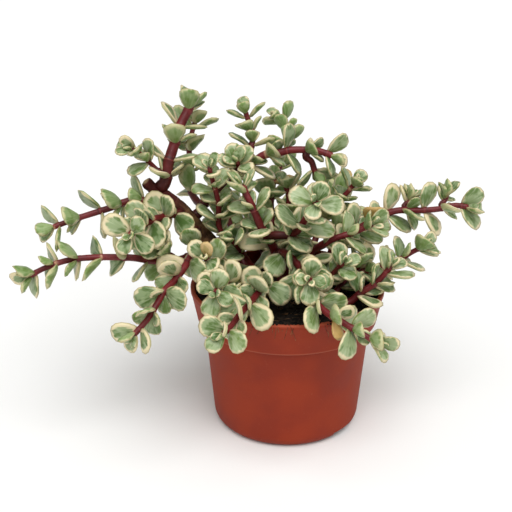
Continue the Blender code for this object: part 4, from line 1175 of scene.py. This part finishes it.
def leaf_finish():
    """Succulent leaf: a waxy skin over wet flesh, so light goes a little way in. The green sits
    in the middle, feathered outwards, and the margin has no green, which leaves it cream. About
    one leaf in eighty is old and has turned ochre."""
    made, tree, shader = new_material("variegated_leaf_flesh", roughness=0.42, specular=0.4)
    shader.inputs["Subsurface Weight"].default_value = 0.12
    shader.inputs["Subsurface Radius"].default_value = (1.0, 0.9, 0.5)
    shader.inputs["Subsurface Scale"].default_value = 1.2 * MM
    marks = add_node(tree, "ShaderNodeAttribute", attribute_name="leaf_marks")
    parts = add_node(tree, "ShaderNodeSeparateColor", {"Color": marks.outputs["Color"]})
    edge, tone, seed = (parts.outputs[name] for name in ("Red", "Green", "Blue"))
    flat = add_node(tree, "ShaderNodeUVMap", uv_map="along_leaf").outputs["UV"]
    away = add_node(tree, "ShaderNodeVectorMath", {0: flat, 1: LEAF_FAN}, operation="ADD").outputs[0]
    apart = add_node(tree, "ShaderNodeSeparateXYZ", {"Vector": away}).outputs
    slope = {0: apart["Y"], 1: apart["X"]}
    angle = add_node(tree, "ShaderNodeMath", slope, operation="ARCTAN2").outputs[0]
    own = add_node(tree, "ShaderNodeMath", {0: seed, 1: 40.0}, operation="MULTIPLY").outputs[0]
    fan = add_node(tree, "ShaderNodeCombineXYZ", {"X": angle, "Y": apart["X"], "Z": own}).outputs[0]
    thin = add_node(tree, "ShaderNodeVectorMath", {0: fan, 1: THIN_MARKS}, operation="MULTIPLY").outputs[0]
    wide = add_node(tree, "ShaderNodeVectorMath", {0: fan, 1: WIDE_MARKS}, operation="MULTIPLY").outputs[0]
    streak = add_node(tree, "ShaderNodeTexNoise", {"Vector": thin, "Scale": 1, "Detail": 3}).outputs[0]
    blotch = add_node(tree, "ShaderNodeTexNoise", {"Vector": wide, "Scale": 1, "Detail": 2}).outputs[0]
    margin = edge
    for pattern, depth in ((streak, 0.30), (blotch, 0.75)):
        uneven = add_node(tree, "ShaderNodeMath", {0: pattern, 1: -0.5}, operation="ADD").outputs[0]
        spread = {0: uneven, 1: depth, 2: margin}
        margin = add_node(tree, "ShaderNodeMath", spread, operation="MULTIPLY_ADD").outputs[0]
    eased = {"Value": seed, "From Min": 0.65, "From Max": 1.0, "To Max": 0.36}
    creamy = add_node(tree, "ShaderNodeMapRange", eased, interpolation_type="SMOOTHSTEP").outputs[0]
    margin = add_node(tree, "ShaderNodeMath", {0: margin, 1: creamy}, operation="ADD").outputs[0]
    sage = coated(tree, srgb("#85986A"), srgb("#A3B287"), tone)
    green = coated(tree, srgb("#4F6C34"), srgb("#72894A"), tone)
    colour = coated(tree, green, sage, 1.0, (blotch, 0.38, 0.56))
    colour = coated(tree, colour, srgb("#BDC8A2"), 0.45, (streak, 0.48, 0.66))
    colour = coated(tree, colour, srgb("#E2D3AC"), 1.0, (margin, 0.77, 0.95))
    colour = coated(tree, colour, srgb("#C48A72"), 0.7, (edge, 0.93, 1.0))
    colour = coated(tree, colour, srgb("#83A055"), 0.4, (marks.outputs["Alpha"], 0.5, 0.0))
    colour = coated(tree, colour, srgb("#C99F5B"), 0.85, (seed, 0.985, 0.99))
    fine = add_node(tree, "ShaderNodeTexNoise", {"Vector": thin, "Scale": 3, "Detail": 2}).outputs[0]
    finished(tree, shader, colour, fine, 0.12, 0.3 * MM)
    return made


def side_leaves(paths, mesh, grown, others, owns):
    """Smaller leaves from the buds between the pairs, and the youngest pair at each tip."""
    for name, path in paths.items():
        spec = STEMS[name]
        if not spec["leaf"]:
            continue
        draw = random.Random(name + " side")
        places = []
        for place in leaf_places(path, spec)[:: 2]:
            distance, turn, size, lift = place
            if draw.random() < spec["bushy"] and distance < path.length - 6 * MM:
                for half in (0, math.pi):
                    around = turn + math.pi / 2 + half
                    places.append((distance + 1.5 * MM, around, SIDE_SIZE * size, SIDE_LIFT))
        tip = path.length - 0.3 * MM
        places += [(tip, spec["turn"] + half, YOUNG_SIZE, YOUNG_LIFT) for half in (0.8, 0.8 + math.pi)]
        grow_on(name, path, places, mesh, grown[name], others, owns[name], draw)


LEAF_FLESH = leaf_finish()
COARSE_LEAF = leaf_shape()
GROWN, ALL_PLACED, OWN_PLACED = grow_leaves(PATHS, COARSE_LEAF)
side_leaves(PATHS, COARSE_LEAF, GROWN, ALL_PLACED, OWN_PLACED)
FINE_LEAF = fine_leaf()
for name, path in PATHS.items():
    if name == "old_trunk":
        continue
    bm = bmesh.new()
    wear = bm.verts.layers.float_color.new("wear")
    bm.verts.layers.float_color.new("leaf_marks")
    bm.loops.layers.uv.new("along_leaf")
    stem_skin(bm, path, leaf_nodes(name), STEM_STEP, STEM_AROUND, wear)
    draw = random.Random(name)
    for matrix in GROWN[name]:
        add_leaf(bm, FINE_LEAF, matrix, draw)
    new_piece(f"{name}_stem", bm, [STEM_SKIN, LEAF_FLESH], [name])

# The old trunk
# The plant's oldest wood: brown cracked bark over a leaning trunk, turning to wine red skin higher
# up, and pruned short at its end, where the cut face has healed over pale.

TRUNK_STEP = 0.9 * MM
TRUNK_AROUND = 28


def bark():
    """Old succulent bark: a thin dry corky skin, brown with paler ridges, that gives way to wine
    red skin near the trunk's end, where the cut face is pale."""
    made, tree, shader = new_material("corky_bark", roughness=0.82, specular=0.25)
    place = add_node(tree, "ShaderNodeTexCoord").outputs["Object"]
    patch = add_node(tree, "ShaderNodeTexNoise", {"Vector": place, "Scale": 170, "Detail": 5}).outputs[0]
    fine = add_node(tree, "ShaderNodeTexNoise", {"Vector": place, "Scale": 1100, "Detail": 3}).outputs[0]
    wear = add_node(tree, "ShaderNodeAttribute", attribute_name="wear").outputs["Color"]
    along = add_node(tree, "ShaderNodeSeparateColor", {"Color": wear}).outputs["Red"]
    colour = coated(tree, srgb("#452C1B"), srgb("#7C5A3B"), 1.0, (patch, 0.35, 0.62))
    colour = coated(tree, colour, srgb("#8A6A4A"), 0.5, (fine, 0.56, 0.72))
    skin = coated(tree, srgb("#33100E"), srgb("#5C2420"), patch)
    colour = coated(tree, colour, skin, 1.0, (along, 0.66, 0.84))
    colour = coated(tree, colour, srgb("#CDAE8A"), 0.85, (along, 0.992, 0.998))
    finished(tree, shader, colour, patch, 0.8, 1.0 * MM)
    return made


trunk = bmesh.new()
wear = trunk.verts.layers.float_color.new("wear")
stem_skin(trunk, PATHS["old_trunk"], [], TRUNK_STEP, TRUNK_AROUND, wear, rounding=0.2)
trunk.normal_update()
for vert in trunk.verts:
    crack = noise.fractal(vert.co * 300, 0.8, 2.2, 4)
    vert.co += vert.normal * (0.4 * MM * crack + 0.55 * MM)
new_piece("pruned_trunk", trunk, [bark()], ["old_trunk"])

# The floor, light and camera
# A plain pale floor under a strong soft light from high in front, a weak one from the left and a
# little even light from all round.

FLOOR_REACH = 60


def pale_floor():
    """Matt painted board, faintly uneven."""
    made, tree, shader = new_material("matt_board", roughness=0.9, specular=0.2)
    place = add_node(tree, "ShaderNodeTexCoord").outputs["Object"]
    cloud = add_node(tree, "ShaderNodeTexNoise", {"Vector": place, "Scale": 6, "Detail": 2}).outputs[0]
    base = coated(tree, srgb("#F4F4F2"), srgb("#F8F8F7"), cloud)
    tree.links.new(base, shader.inputs["Base Color"])
    return made


sheet = bmesh.new()
bmesh.ops.create_grid(sheet, x_segments=2, y_segments=2, size=FLOOR_REACH)
floor = placed("pale_floor", mesh_from("pale_floor", sheet))
floor.data.materials.append(pale_floor())


def soft_sun(name, direction, spread, strength):
    """Even light from one side, as soft as a big softbox spread degrees wide."""
    light = bpy.data.lights.new(name, "SUN")
    light.angle = math.radians(spread)
    light.energy = strength
    lamp = placed(name, light)
    lamp.rotation_euler = (-Vector(direction)).to_track_quat("-Z", "Y").to_euler()


soft_sun("key_light", (0.2, -0.8, 1.6), 60, 2.75)
soft_sun("fill_light", (-1.0, -0.8, 0.9), 80, 0.4)

studio = bpy.data.worlds.new("pale_studio")
studio.use_nodes = True
studio.node_tree.nodes["Background"].inputs["Color"].default_value = srgb("#FFFFFF")
studio.node_tree.nodes["Background"].inputs["Strength"].default_value = 0.3
bpy.context.scene.world = studio
bpy.context.scene.view_settings.view_transform = "Standard"

lens = bpy.data.cameras.new("camera")
lens.sensor_width = 36
lens.lens = 67.95
camera = placed("camera", lens)
camera.location = (VIEW_MIDDLE + VIEW_TOWARD * VIEW_DISTANCE) * MM
camera.rotation_euler = (math.pi / 2 - VIEW_ELEVATION, 0, 0)
bpy.context.scene.camera = camera
